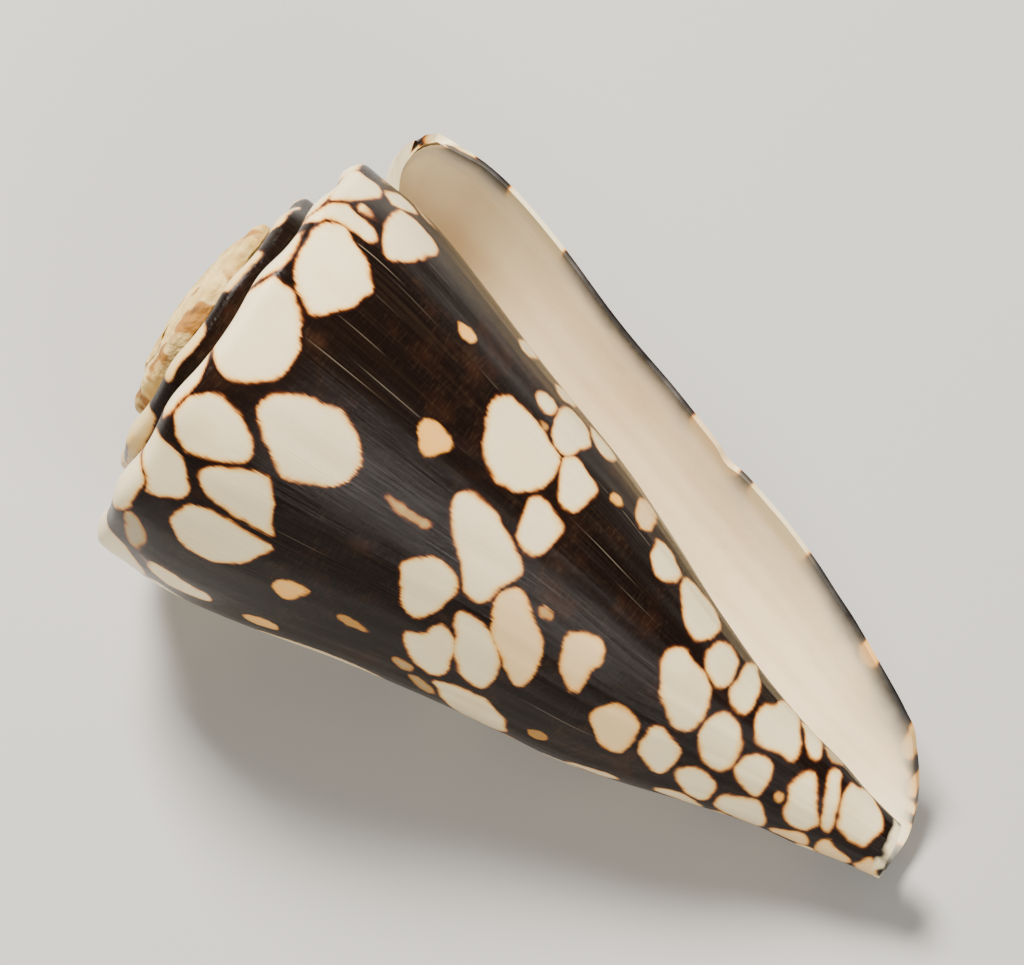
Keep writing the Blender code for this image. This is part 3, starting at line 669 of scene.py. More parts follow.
# Views of the photograph: pixels for each metre, and the place in it of the shell's shoulder plane
# and axis
SIDE_SCALE = 9800.0
SIDE_AXIS = np.array((0.7986, 0.6018))
SHOULDER_ALONG, AXIS_ACROSS = 154.0, -339.0
SIDE_AZIMUTH = math.radians(-103)
APEX_SCALE = 8950.0
APEX_TILT, APEX_ROLL = math.radians(14.5), math.radians(41.5)
APEX_AT, POLE_AT = np.array((662.0, 299.0)), np.array((665.0, 318.0))
# How far outside a line into the shell starts, in how many steps a stray point of an outline is
# pulled in, and how many radians from the outline's middle still lie on its whorl
RAY_START = 0.3
PULL_STEPS = 24
SAME_WHORL = 1.6
CORNER_CUT, CORNER_CUTS = 0.25, 2
# How far round a patch its distances are worked out, what counts as far and as clear of it, and how
# many patches a place can lie between
MARK_MARGIN, MARK_FAR, MARK_CLEAR = 0.0024, 0.005, 0.0016
MARK_SETS = 4
# Metres that a radian counts for: at the least, for the reach of a patch, and to find its middle
LEAST_RADIUS, SEARCH_RADIUS, TURN_WEIGHT = 0.004, 0.006, 0.02
TINY = 1e-12

bpy.ops.object.mode_set(mode="OBJECT")
shell_tree = BVHTree.FromObject(shell, bpy.context.evaluated_depsgraph_get())


def read_attribute(name):
    values = np.empty(len(shell.data.vertices))
    shell.data.attributes[name].data.foreach_get("value", values)
    return values


def write_attribute(name, values):
    attribute = shell.data.attributes.new(name, "FLOAT", "POINT")
    attribute.data.foreach_set("value", values)


corner_turn, corner_down, corner_inside = (read_attribute(name) for name in ("turn", "down", "inside"))
corners = np.empty(len(shell.data.vertices) * 3)
shell.data.vertices.foreach_get("co", corners)
corners = corners.reshape(-1, 3)
corner_radius = np.maximum(LEAST_RADIUS, np.hypot(corners[:, 0], corners[:, 1]))


def side_ray(pixel):
    """From a place in the view of the aperture, a line into the shell."""
    along = SIDE_AXIS @ pixel
    across = pixel[0] * SIDE_AXIS[1] - pixel[1] * SIDE_AXIS[0]
    towards = np.array((math.cos(SIDE_AZIMUTH), math.sin(SIDE_AZIMUTH), 0.0))
    right = np.array((-towards[1], towards[0], 0.0))
    start = (across - AXIS_ACROSS) / SIDE_SCALE * right + RAY_START * towards
    start[2] = (SHOULDER_ALONG - along) / SIDE_SCALE
    return start, -towards


def apex_ray(pixel):
    """From a place in the view of the apex, a line into the shell."""
    across, up = (pixel[0] - APEX_AT[0]) / APEX_SCALE, (APEX_AT[1] - pixel[1]) / APEX_SCALE
    tilted = np.array((across, up * math.cos(APEX_TILT), -up * math.sin(APEX_TILT)))
    towards = np.array((0.0, math.sin(APEX_TILT), math.cos(APEX_TILT)))
    spun = np.array(((math.cos(APEX_ROLL), -math.sin(APEX_ROLL), 0.0),
                     (math.sin(APEX_ROLL), math.cos(APEX_ROLL), 0.0), (0.0, 0.0, 1.0)))
    return spun @ (tilted + RAY_START * towards), spun @ -towards


def on_wall(ray):
    """Turn and depth where a line meets the outside of the wall."""
    start, direction = ray
    spot, _, face, _ = shell_tree.ray_cast(Vector(start), Vector(direction))
    if face is None:
        return None
    around = list(shell.data.polygons[face].vertices)
    if corner_inside[around].max() > 0.5:
        return None
    weights = np.array(poly_3d_calc([shell.data.vertices[i].co for i in around], spot))
    return np.array((weights @ corner_turn[around], weights @ corner_down[around]))


def lay_outline(pixels, to_ray):
    """An outline's places on the wall. One that misses its whorl is pulled in towards the middle."""
    middle = pixels.mean(axis=0)
    home = on_wall(to_ray(middle))
    if home is None:
        return None
    laid = []
    for pixel in pixels:
        for step in range(PULL_STEPS):
            there = on_wall(to_ray(pixel + (middle - pixel) * step / PULL_STEPS))
            if there is not None and abs(there[0] - home[0]) < SAME_WHORL:
                laid.append(there)
                break
    return np.array(laid)


def rounded(outline):
    """The outline with its corners cut off."""
    near, far = 1.0 - CORNER_CUT, CORNER_CUT
    for _ in range(CORNER_CUTS):
        following = np.roll(outline, -1, axis=0)
        outline = np.stack((near * outline + far * following, far * outline + near * following), axis=1)
        outline = outline.reshape(-1, 2)
    return outline


def depth_in(outline, spots):
    """Distance from each spot to the outline, below 0 inside it."""
    following = np.roll(outline, -1, axis=0)
    edge = following - outline
    offset = spots[:, None, :] - outline[None]
    part = np.clip((offset * edge).sum(axis=2) / np.maximum((edge ** 2).sum(axis=1), TINY), 0.0, 1.0)
    nearest = np.sqrt(((offset - part[..., None] * edge) ** 2).sum(axis=2)).min(axis=1)
    above = outline[None, :, 1] > spots[:, 1:2]
    crosses = above != (following[None, :, 1] > spots[:, 1:2])
    rise = np.where(np.abs(edge[:, 1]) < TINY, TINY, edge[:, 1])
    reached = outline[:, 0] + (spots[:, 1:2] - outline[:, 1]) * edge[:, 0] / rise
    inside = (crosses & (spots[:, :1] < reached)).sum(axis=1) % 2 == 1
    return np.where(inside, -nearest, nearest)


mark_sets = np.full((MARK_SETS, len(corners)), MARK_FAR)
mark_warmth, mark_clarity = np.zeros(len(corners)), np.ones(len(corners))
nearest_mark = np.full(len(corners), MARK_FAR)


def add_mark(outline, warmth, clarity, gap=None):
    """Draw one patch on the wall. With a gap it keeps clear of those already there."""
    middle = (outline.min(axis=0) + outline.max(axis=0)) / 2
    reach = (outline.max(axis=0) - outline.min(axis=0)) / 2
    near = np.flatnonzero((np.abs(corner_turn - middle[0]) < reach[0] + MARK_MARGIN / SEARCH_RADIUS)
                          & (np.abs(corner_down - middle[1]) < reach[1] + MARK_MARGIN))
    if len(near) == 0:
        return
    away = np.abs(corner_turn[near] - middle[0]) * TURN_WEIGHT + np.abs(corner_down[near] - middle[1])
    scale = np.array((corner_radius[near[np.argmin(away)]], 1.0))
    spots = np.stack((corner_turn[near], corner_down[near]), axis=1) * scale
    close = np.abs(spots[:, 0] - middle[0] * scale[0]) < reach[0] * scale[0] + MARK_MARGIN
    near, spots = near[close], spots[close]
    depth = depth_in(outline * scale, spots)
    if gap is not None:
        depth = np.maximum(depth, gap - nearest_mark[near])
    touched = depth < MARK_CLEAR
    crowding = [(mark_sets[i, near[touched]] < MARK_CLEAR).sum() for i in range(MARK_SETS)]
    chosen = int(np.argmin(crowding))
    mark_sets[chosen, near] = np.minimum(mark_sets[chosen, near], depth)
    nearer = depth < nearest_mark[near]
    mark_warmth[near[nearer]], mark_clarity[near[nearer]] = warmth, clarity
    nearest_mark[near] = np.minimum(nearest_mark[near], depth)


for warmth, clarity, numbers in SIDE_PATCHES:
    laid = lay_outline(np.array(numbers, dtype=float).reshape(-1, 2), side_ray)
    if laid is not None and len(laid) > 3:
        add_mark(rounded(laid), warmth, clarity)
for warmth, clarity, numbers in SPIRE_PATCHES:
    polar = np.array(numbers, dtype=float).reshape(-1, 2)
    bearing = np.radians(polar[:, 0])
    pixels = POLE_AT + polar[:, 1:] * np.stack((np.cos(bearing), np.sin(bearing)), axis=1)
    laid = lay_outline(pixels, apex_ray)
    if laid is not None and len(laid) > 3:
        add_mark(rounded(laid), warmth, clarity)


def lip_turn(down):
    """Turn of the lip's edge at this depth. It is drawn back towards the anterior end."""
    return corner_sweep(np.zeros_like(down), down / BODY_LENGTH)


for warmth, top, foot, reach in LIP_PATCHES:
    middle, half = (top + foot) / 2 / MILLIMETRES, (foot - top) / 2 / MILLIMETRES
    outline = [(PAST_LIP, middle - half), (PAST_LIP, middle + half)]
    outline += [(-math.radians(reach) * back, middle - half * up) for back, up in LIP_OUTLINE]
    outline = np.array(outline)
    outline[:, 0] += lip_turn(outline[:, 1])
    add_mark(rounded(outline), warmth, CLEAN)

# Markings that the photograph doesn't show: the same patches, strewn in the same bands over the
# back of the shell. Each takes the room that its neighbours leave it.
STREW_SEED = 41
STREWN_FROM, STREWN_TO = math.radians(-372), math.radians(-3)
TRIES = 9000
# What the photograph shows: turns before this, facing it by this much, right of this pixel
SEEN_TURN, SEEN_FACING, SEEN_COLUMN = -2.4, 0.12, 2.0
# Room of a patch: its length for its width, its distance to the next one at the least and how much
# that varies, and the share of it that is left on the narrow end
LONGER = 1.35
CLOSEST, CLOSENESS_SPREAD = 0.75, 0.5
NARROW_SPACING, WIDE_RADIUS = 0.45, 0.022
NEIGHBOUR_REACH = 2.2
STREWN_GAP, TRACED_GAP, LIP_ROOM = 0.00022, 0.0004, 0.0030
# Its outline, how much of it may lie on patches already there, and how often it is warmer
CORNERS = 12
RAGGED, RAGGED_OUT = 0.16, 0.6
OVERLAP, OVERLAP_ROUND, OVERLAP_DOWN = 0.12, 0.35, 0.45
USUAL_SHARE, WARMER = 0.85, 0.35
strew = np.random.default_rng(STREW_SEED)


def is_seen(turn, down):
    """Whether the photograph shows this place on the side."""
    depth = np.array(down / float(side_length(turn)))
    radius, height = wall_point(np.array(turn), depth)
    spot = in_shell_frame(turn, radius, height)
    facing = math.cos(math.atan2(spot[1], spot[0]) - SIDE_AZIMUTH)
    right = -spot[0] * math.sin(SIDE_AZIMUTH) + spot[1] * math.cos(SIDE_AZIMUTH)
    along = SHOULDER_ALONG - SIDE_SCALE * spot[2]
    across = AXIS_ACROSS + SIDE_SCALE * right
    column = along * SIDE_AXIS[0] + across * SIDE_AXIS[1]
    return turn < SEEN_TURN and facing > SEEN_FACING and column > SEEN_COLUMN


def cut(outline, point, normal):
    """The part of a closed outline on the near side of a line."""
    kept = []
    side = (outline - point) @ normal
    for i in range(len(outline)):
        j = (i + 1) % len(outline)
        if side[i] <= 0.0:
            kept.append(outline[i])
        if (side[i] < 0.0) != (side[j] < 0.0):
            kept.append(outline[i] + (outline[j] - outline[i]) * side[i] / (side[i] - side[j]))
    return np.array(kept)


sites = []
for _ in range(TRIES):
    turn = strew.uniform(STREWN_FROM, STREWN_TO)
    down = strew.uniform(BANDS[0][0], BANDS[-1][1]) / MILLIMETRES
    for band in BANDS:
        if band[0] <= down * MILLIMETRES < band[1]:
            break
    radius = float(side_radius(np.array(turn), np.array(down / float(side_length(turn)))))
    apart = band[2] / MILLIMETRES * (CLOSEST + CLOSENESS_SPREAD * strew.random())
    apart *= NARROW_SPACING + (1.0 - NARROW_SPACING) * min(1.0, radius / WIDE_RADIUS)
    clear = all(math.hypot((turn - other_turn) * (radius + other_radius) / 2, (down - other_down) / LONGER)
                > (apart + other_apart) / 2 for other_turn, other_down, other_radius, other_apart, _ in sites)
    if clear:
        sites.append((turn, down, radius, apart, band[3:]))

around = np.linspace(0, FULL_TURN, CORNERS + 1)[:-1]
circle = np.stack((np.cos(around), np.sin(around)), axis=1)
for turn, down, radius, apart, (share_held, size, warmth) in sites:
    before_lip = radius * float(lip_turn(np.array(down))) - LIP_ROOM
    if strew.random() > share_held or is_seen(turn, down) or turn * radius > before_lip:
        continue
    home = np.array((turn * radius, down / LONGER))
    room = home + apart * circle
    for other_turn, other_down, _, other_apart, _ in sites:
        away = np.array((other_turn * radius, other_down / LONGER)) - home
        gap = math.hypot(*away)
        if 0.0 < gap < NEIGHBOUR_REACH * apart:
            share = apart / (apart + other_apart)
            room = cut(room, home + away * share - away / gap * STREWN_GAP, away)
    room = cut(room, np.array((before_lip, down)), np.array((1.0, 0.0)))
    if len(room) < 3:
        continue
    room = home + (room - home) * size
    ragged = home + (room - home) * (1.0 + RAGGED * strew.uniform(-1.0, RAGGED_OUT, (len(room), 1)))
    outline = rounded(ragged) / np.array((radius, 1.0 / LONGER))
    covered = nearest_mark[(np.abs(corner_turn - turn) < OVERLAP_ROUND * apart / radius)
                           & (np.abs(corner_down - down) < OVERLAP_DOWN * apart)] < 0.0
    if len(covered) == 0 or covered.mean() > OVERLAP:
        continue
    if strew.random() >= USUAL_SHARE:
        warmth = min(1.0, warmth + WARMER)
    add_mark(outline, warmth, CLEAN, gap=TRACED_GAP)

# Wear on the spire: its first whorls have lost their polish and are chalky, with stains left in
# the lows. A stain is an angle and a distance as above, half its size in both, and its strength.
WORN_FROM, WORN_FULL = math.radians(-742), math.radians(-772)
AGED_FROM, AGED_FULL = math.radians(-330), math.radians(-520)
AGED_MOST = 0.6
PARIETAL_FROM, PARIETAL_TO = math.radians(-359), math.radians(-620)
PARIETAL_FADE, PARIETAL_MARGIN = math.radians(9), 0.002
STAIN_CORE, STAIN_EDGE = 0.5, 1.9
RIM_ABOVE, RIM_WIDTH, RIM_REACH = -0.0016, 0.0016, 0.01
STAINS = (
    (-176, 102, 6, 13, 0.45), (-146, 103, 6, 14, 0.45), (-111, 108, 5, 9, 0.9), (-77, 103, 7, 7, 0.9),
    (-40, 100, 8, 12, 0.95), (4, 104, 7, 13, 0.95), (14, 92, 5, 9, 0.6), (-321, 108, 6, 14, 1.0),
    (-305, 80, 7, 8, 0.9), (-273, 88, 6, 10, 0.45), (-240, 93, 7, 7, 0.3), (-206, 97, 7, 11, 0.6),
)
spin = np.array(((math.cos(APEX_ROLL), math.sin(APEX_ROLL)), (-math.sin(APEX_ROLL), math.cos(APEX_ROLL))))
flat = corners[:, :2] @ spin.T
rise = flat[:, 1] * math.cos(APEX_TILT) - corners[:, 2] * math.sin(APEX_TILT)
seen_from_apex = APEX_AT + APEX_SCALE * np.stack((flat[:, 0], -rise), axis=1) - POLE_AT
bearing = np.degrees(np.arctan2(seen_from_apex[:, 1], seen_from_apex[:, 0]))
distance_out = np.hypot(seen_from_apex[:, 0], seen_from_apex[:, 1])
stain = np.zeros(len(corners))
for angle, reach, width, height, strength in STAINS:
    turned = (bearing - angle + 180.0) % 360.0 - 180.0
    part = np.maximum(np.abs(turned) / width, np.abs(distance_out - reach) / height)
    stain = np.maximum(stain, strength * (1.0 - ease(STAIN_CORE, STAIN_EDGE, part)))


def place_of(name):
    """Column and row of each corner in the sheet that it came from, -1 where it came from another."""
    places = np.empty(len(corners), dtype=int)
    shell.data.attributes[name + "_place"].data.foreach_get("value", places)
    columns, rows = np.divmod(places - 1, PLACE_STEP)
    return np.where(places > 0, columns, -1), np.where(places > 0, rows, -1)


corner_lip = np.maximum(0.0, -read_attribute("grown") * corner_radius)
inner_row = place_of("inner")[1]
under_ramp = (inner_row >= 0) & (inner_row <= UNDER_STEPS)
on_ramp_rim = ((corner_down < RIM_ABOVE) | under_ramp) & (corner_lip < RIM_REACH)
mark_sets[0] = np.where(on_ramp_rim, np.minimum(mark_sets[0], corner_lip - RIM_WIDTH), mark_sets[0])
ramp_column, ramp_row = place_of("ramp")
side_column, side_row = place_of("side")
on_suture = (ramp_row == 0) & (ramp_column > BACK)
on_suture |= (ramp_row == UNDER_STEPS) & (ramp_column <= BODY_START)
on_suture |= (side_row == 0) & (side_column <= CAVITY_COLUMNS)
worn = 1.0 - ease(WORN_FULL, WORN_FROM, corner_turn)
roughened = corners.copy()
roughened[:, 2] += worn * (corners[:, 2] > 0.0) * wear_lumps(corners)
shell.data.vertices.foreach_set("co", roughened.ravel())
aged = AGED_MOST * (1.0 - ease(AGED_FULL, AGED_FROM, corner_turn))
on_parietal = (side_row > 0) & (corner_turn < PARIETAL_FROM) & (corner_turn > PARIETAL_TO)
on_parietal &= corner_down > PARIETAL_MARGIN
on_parietal &= corners[:, 2] < shoulder_height(corner_turn) - PARIETAL_MARGIN
within = np.maximum(corner_inside, ease(0.0, PARIETAL_FADE, PARIETAL_FROM - corner_turn) * on_parietal)

# A corner on a suture belongs to two whorls, so it takes the mean of its neighbours' markings
edges = np.empty(len(shell.data.edges) * 2, dtype=int)
shell.data.edges.foreach_get("vertices", edges)
edges = edges.reshape(-1, 2)
both_ways = np.concatenate((edges, edges[:, ::-1]))
to_suture = both_ways[on_suture[both_ways[:, 0]] & ~on_suture[both_ways[:, 1]]]
neighbours = np.bincount(to_suture[:, 0], minlength=len(corners))
for values in (*mark_sets, mark_warmth, mark_clarity, worn, aged, stain):
    total = np.bincount(to_suture[:, 0], weights=values[to_suture[:, 1]], minlength=len(corners))
    values[neighbours > 0] = (total / np.maximum(neighbours, 1))[neighbours > 0]

# What the wall carries to its colours, with distances in millimetres
for label, distances in zip("abcd", mark_sets):
    write_attribute("patches_" + label, MILLIMETRES * distances)
write_attribute("warmth", mark_warmth)
write_attribute("clarity", mark_clarity)
write_attribute("suture", 1.0 * on_suture)
write_attribute("worn", worn)
write_attribute("aged", aged)
write_attribute("stain", stain)
write_attribute("within", within)
write_attribute("from_lip", MILLIMETRES * corner_lip)
write_attribute("to_rim", MILLIMETRES * (side_length(corner_turn) - corner_down))

# Resting place: the shell lies on its back, where its body whorl is worn to a small flat
REST_ROLL = math.radians(100)
REST_TILT = math.radians(14.25)
FLAT_DEPTH = 0.0005
SHARP_ANGLE = math.radians(40)

downwards = Vector((-math.sin(REST_TILT), 0.0, -math.cos(REST_TILT)))
towards_apex = Vector((-math.cos(REST_TILT), 0.0, math.sin(REST_TILT)))
lying = Matrix((downwards, towards_apex.cross(downwards), towards_apex)).transposed().to_4x4()
lying = lying @ Matrix.Rotation(-REST_ROLL, 4, "Z")
shell.data.transform(lying)
flat_level = min(vert.co.z for vert in shell.data.vertices) + FLAT_DEPTH
for vert in shell.data.vertices:
    vert.co.z = max(vert.co.z, flat_level)
corners = np.array([vert.co for vert in shell.data.vertices])
low, high = corners.min(axis=0), corners.max(axis=0)
resting_shift = -np.array(((low[0] + high[0]) / 2, (low[1] + high[1]) / 2, low[2]))
shell.data.transform(Matrix.Translation(resting_shift))
bpy.ops.object.shade_smooth_by_angle(angle=SHARP_ANGLE)

# Finish of the shell: naturally glossy lime. The wall's own values give its patches and their
# edges, fine growth lines and crossing threads run through it, and the apex is worn to chalk.
shell_colour = bpy.data.materials.new("marbled shell")
shell_colour.use_nodes = True
tree = shell_colour.node_tree
polish = tree.nodes["Principled BSDF"]


def wire(value, socket):
    """Join a node's output to a socket, or set the socket to a plain value or a colour."""
    if isinstance(value, bpy.types.NodeSocket):
        tree.links.new(value, socket)
    elif isinstance(value, tuple):
        socket.default_value = (*value, 1.0)
    else:
        socket.default_value = value


def measure(name):
    """A value that the wall carries at each of its points."""
    node = tree.nodes.new("ShaderNodeAttribute")
    node.attribute_name = name
    return node.outputs["Fac"]


def work(operation, first, second):
    node = tree.nodes.new("ShaderNodeMath")
    node.operation = operation
    wire(first, node.inputs[0])
    wire(second, node.inputs[1])
    return node.outputs[0]


def plus(first, second):
    return work("ADD", first, second)


def times(first, second):
    return work("MULTIPLY", first, second)


def wobble(noise, size):
    """A noise moved to lie about 0, and made so much larger."""
    return times(work("SUBTRACT", noise, 0.5), size)


def stretch(value, low, high, to_low=0.0, to_high=1.0):
    """A value between two limits, eased onto another pair."""
    node = tree.nodes.new("ShaderNodeMapRange")
    node.interpolation_type = "SMOOTHSTEP"
    for amount, socket in zip((value, low, high, to_low, to_high), node.inputs):
        wire(amount, socket)
    return node.outputs[0]


def blend(share, first, second):
    node = tree.nodes.new("ShaderNodeMix")
    node.data_type = "RGBA"
    wire(share, node.inputs["Factor"])
    wire(first, node.inputs["A"])
    wire(second, node.inputs["B"])
    return node.outputs["Result"]


def speckle(place, scale, detail=2.0, roughness=0.5):
    node = tree.nodes.new("ShaderNodeTexNoise")
    wire(place, node.inputs["Vector"])
    wire(scale, node.inputs["Scale"])
    wire(detail, node.inputs["Detail"])
    wire(roughness, node.inputs["Roughness"])
    return node.outputs["Fac"]


def grown_speckle(across, down, detail=2.0, roughness=0.5):
    """A noise of so many grains in a radian of growth, and so many in a metre down."""
    node = tree.nodes.new("ShaderNodeCombineXYZ")
    wire(times(measure("grown"), across), node.inputs["X"])
    wire(times(measure("down"), down), node.inputs["Y"])
    return speckle(node.outputs[0], 1.0, detail, roughness)


def ramp(value, stops):
    node = tree.nodes.new("ShaderNodeValToRGB")
    wire(value, node.inputs["Fac"])
    bands = node.color_ramp.elements
    while len(bands) < len(stops):
        bands.new(0.5)
    for element, (place, colour) in zip(bands, stops):
        element.position = place
        element.color = (*colour, 1.0)
    return node.outputs["Color"]


def bump(height, distance, strength, normal=None):
    node = tree.nodes.new("ShaderNodeBump")
    node.inputs["Distance"].default_value = distance
    node.inputs["Strength"].default_value = strength
    wire(height, node.inputs["Height"])
    if normal is not None:
        wire(normal, node.inputs["Normal"])
    return node.outputs[0]


# Noises that follow the growth, and noises in the round
fine_lines = grown_speckle(230.0, 260.0, 3.0, 0.6)
silk = grown_speckle(420.0, 40.0, 3.0, 0.6)
threads = grown_speckle(14.0, 3800.0)
streaks = grown_speckle(26.0, 45.0, 3.0, 0.6)
scars = grown_speckle(70.0, 30.0)
place = tree.nodes.new("ShaderNodeTexCoord").outputs["Object"]
clouds = speckle(place, 160.0, 3.0, 0.55)
small_clouds = speckle(place, 420.0)
tip_clouds = speckle(place, 260.0)
grit = speckle(place, 1500.0, 3.0, 0.6)

# Patches: the distance into the nearest one in millimetres, made ragged along the growth lines.
# The edge runs from cream through orange and red brown into the ground.
CREAM = (0.90, 0.76, 0.46)
GROUND = (0.0065, 0.0032, 0.0022)
EDGE_REACH = 1.0
EDGE_COLOURS = (
    (0.13, CREAM),
    (0.38, (0.92, 0.60, 0.17)),
    (0.50, (0.56, 0.19, 0.015)),
    (0.57, (0.20, 0.050, 0.007)),
    (0.64, (0.035, 0.010, 0.0045)),
    (0.80, GROUND),
)
LINES_RAGGED, CLOUDS_RAGGED = 0.85, 1.0
PATCH_LIMITS, GROUND_LIMITS = (0.25, -0.20), (0.62, 0.34)

nearest = measure("patches_a")
for label in "bcd":
    nearest = work("MINIMUM", nearest, measure("patches_" + label))
edge = plus(nearest, plus(wobble(fine_lines, LINES_RAGGED), wobble(small_clouds, CLOUDS_RAGGED)))
edge_colour = ramp(stretch(edge, -EDGE_REACH, EDGE_REACH), EDGE_COLOURS)
in_patch = stretch(edge, *PATCH_LIMITS)

# Ground: nearly black, with red brown clouds, grey growth lines that are partly their own colour and partly
# painted sheen, a painted grey sheen where the lines cross the spiral threads, and a few pale scars.
# Each pair is where a noise begins to show and where it shows in full. With two more numbers, these
# are how much of it shows below and above that.
RED_BROWN = (0.025, 0.0090, 0.0045)
# Grey of the growth lines, partly their own colour and partly painted sheen, and of the painted sheen where
# they cross the threads
GREY_LINES_AND_SHEEN = (0.038, 0.023, 0.012)
SCAR_WHITE = (0.42, 0.34, 0.25)
RED_CLOUDS = (0.52, 0.74)
STREAKS_SHOW, STREAKS_COVER = (0.50, 0.80), 0.35
SILK_SHOW, SILK_COVER = (0.52, 0.72), 0.45
THREADS_SHOW, SHEEN_CROSSING_SHOW = (0.50, 0.66), (0.40, 0.60)
SHEEN_CROSSING_CLOUDS = (0.42, 0.68, 0.1, 0.8)
SCARS_SHOW, SCARS_COVER = (0.69, 0.77), 0.40

ground = blend(stretch(clouds, *RED_CLOUDS), GROUND, RED_BROWN)
# Grey along the growth lines: partly the lines' own colour, partly painted sheen
ground = blend(times(stretch(streaks, *STREAKS_SHOW), STREAKS_COVER), ground, GREY_LINES_AND_SHEEN)
ground = blend(times(stretch(silk, *SILK_SHOW), SILK_COVER), ground, GREY_LINES_AND_SHEEN)
# Painted sheen: where the silky growth lines cross the spiral threads, in clouds, the ground is lightened to
# grey in place of the lamps' reflection
painted_sheen_crossings = times(stretch(threads, *THREADS_SHOW), stretch(silk, *SHEEN_CROSSING_SHOW))
ground = blend(times(painted_sheen_crossings, stretch(clouds, *SHEEN_CROSSING_CLOUDS)), ground, GREY_LINES_AND_SHEEN)
ground = blend(times(stretch(scars, *SCARS_SHOW), SCARS_COVER), ground, SCAR_WHITE)

# Cream: warmer in some patches, yellower in clouds and on the old whorls, with faint growth lines,
# and veiled where a thin layer of the ground has grown over it
WARM_ORANGE = (0.90, 0.39, 0.02)
YELLOWED = (0.88, 0.64, 0.28)
CREAM_LINE = (0.72, 0.58, 0.36)
AGED_CREAM = (0.76, 0.52, 0.17)
YELLOW_CLOUDS, YELLOW_COVER = (0.50, 0.80), 0.50
CREAM_LINES_SHOW = (0.44, 0.70, 0.0, 0.55)

coat = blend(stretch(edge, *GROUND_LIMITS), ground, edge_colour)
coat = blend(times(measure("warmth"), in_patch), coat, WARM_ORANGE)
coat = blend(times(stretch(clouds, *YELLOW_CLOUDS), times(in_patch, YELLOW_COVER)), coat, YELLOWED)
coat = blend(times(stretch(silk, *CREAM_LINES_SHOW), in_patch), coat, CREAM_LINE)
coat = blend(times(measure("aged"), in_patch), coat, AGED_CREAM)
coat = blend(times(work("SUBTRACT", 1.0, measure("clarity")), in_patch), coat, RED_BROWN)

# Worn apex, sutures and the cream tip of the anterior end
CHALK, CHALK_PALE = (0.58, 0.37, 0.10), (0.80, 0.60, 0.25)
STAIN_OCHRE, STAIN_BROWN = (0.36, 0.16, 0.03), (0.045, 0.022, 0.010)
PALE_SHOWS, PALE_GRAIN = (0.55, 0.88), 0.5
OCHRE_SHOWS, BROWN_SHOWS = (0.15, 0.45), (0.50, 0.85)
STAIN_WOBBLE, STAIN_GRAIN = 1.3, 1.5
SEAM_SHOWS, SEAM_COVER, SEAM_WOBBLE = (0.45, 0.85), 0.85, 0.5
TIP_SHOWS, TIP_WOBBLE = (1.3, 0.7), 1.5
TIP_BEHIND_LIP, TIP_CLOUDS = (-0.7, -1.2), (0.44, 0.54)

pale = stretch(plus(clouds, times(small_clouds, PALE_GRAIN)), *PALE_SHOWS)
stained = plus(measure("stain"), wobble(clouds, STAIN_WOBBLE))
stained = plus(stained, wobble(small_clouds, STAIN_GRAIN))
chalk = blend(pale, CHALK, CHALK_PALE)
chalk = blend(stretch(stained, *OCHRE_SHOWS), chalk, STAIN_OCHRE)
chalk = blend(stretch(stained, *BROWN_SHOWS), chalk, STAIN_BROWN)
chalky = measure("worn")
outside = blend(chalky, coat, chalk)
seam = stretch(plus(measure("suture"), wobble(small_clouds, SEAM_WOBBLE)), *SEAM_SHOWS)
outside = blend(times(seam, SEAM_COVER), outside, STAIN_BROWN)
tip = stretch(plus(measure("to_rim"), wobble(small_clouds, TIP_WOBBLE)), *TIP_SHOWS)
tip = times(tip, stretch(measure("grown"), *TIP_BEHIND_LIP))
outside = blend(times(tip, stretch(tip_clouds, *TIP_CLOUDS)), outside, CREAM)

# Inside: the pattern shows through the thin lip and anterior rim, then comes a grey glaze where
# the ground lies behind it, then cream. Distances are in millimetres.
INNER_CREAM, INNER_PINK = (0.94, 0.79, 0.52), (0.90, 0.69, 0.43)
INNER_GREY = (0.42, 0.42, 0.40)
PINK_CLOUDS = (0.40, 0.75, 0.0, 0.6)
THIN_WOBBLE = 2.2
BEHIND_LIMITS, GREY_REACH, GREY_FALL = (-1.0, 1.6), 5.0, 1.5
HIDDEN_LIMITS, HIDDEN_RISE = (-0.6, 2.6), 0.8

inward = plus(work("MINIMUM", measure("from_lip"), measure("to_rim")), wobble(clouds, THIN_WOBBLE))
glaze = blend(stretch(clouds, *PINK_CLOUDS), INNER_CREAM, INNER_PINK)
greying = work("POWER", stretch(inward, 0.0, GREY_REACH, 1.0, 0.0), GREY_FALL)
glaze = blend(times(stretch(nearest, *BEHIND_LIMITS), greying), glaze, INNER_GREY)
inner = measure("within")
hidden = times(inner, work("POWER", stretch(inward, *HIDDEN_LIMITS), HIDDEN_RISE))
wire(blend(hidden, outside, glaze), polish.inputs["Base Color"])

# Polish: silky along the growth lines, dull where the apex is worn
SHINE = 0.14
POLISHED, SILK_ROUGHNESS, SILK_FEEL = 0.15, 0.11, (0.35, 0.75)
WORN_ROUGHNESS, INNER_ROUGHNESS = 0.38, 0.08
LINE_DEPTH, LINE_STRENGTH, THREAD_SHARE = 0.00008, 0.35, 0.6
PIT_DEPTH, PIT_STRENGTH, GRIT_SHARE, POLISHED_PITS = 0.0005, 0.8, 0.5, 0.10

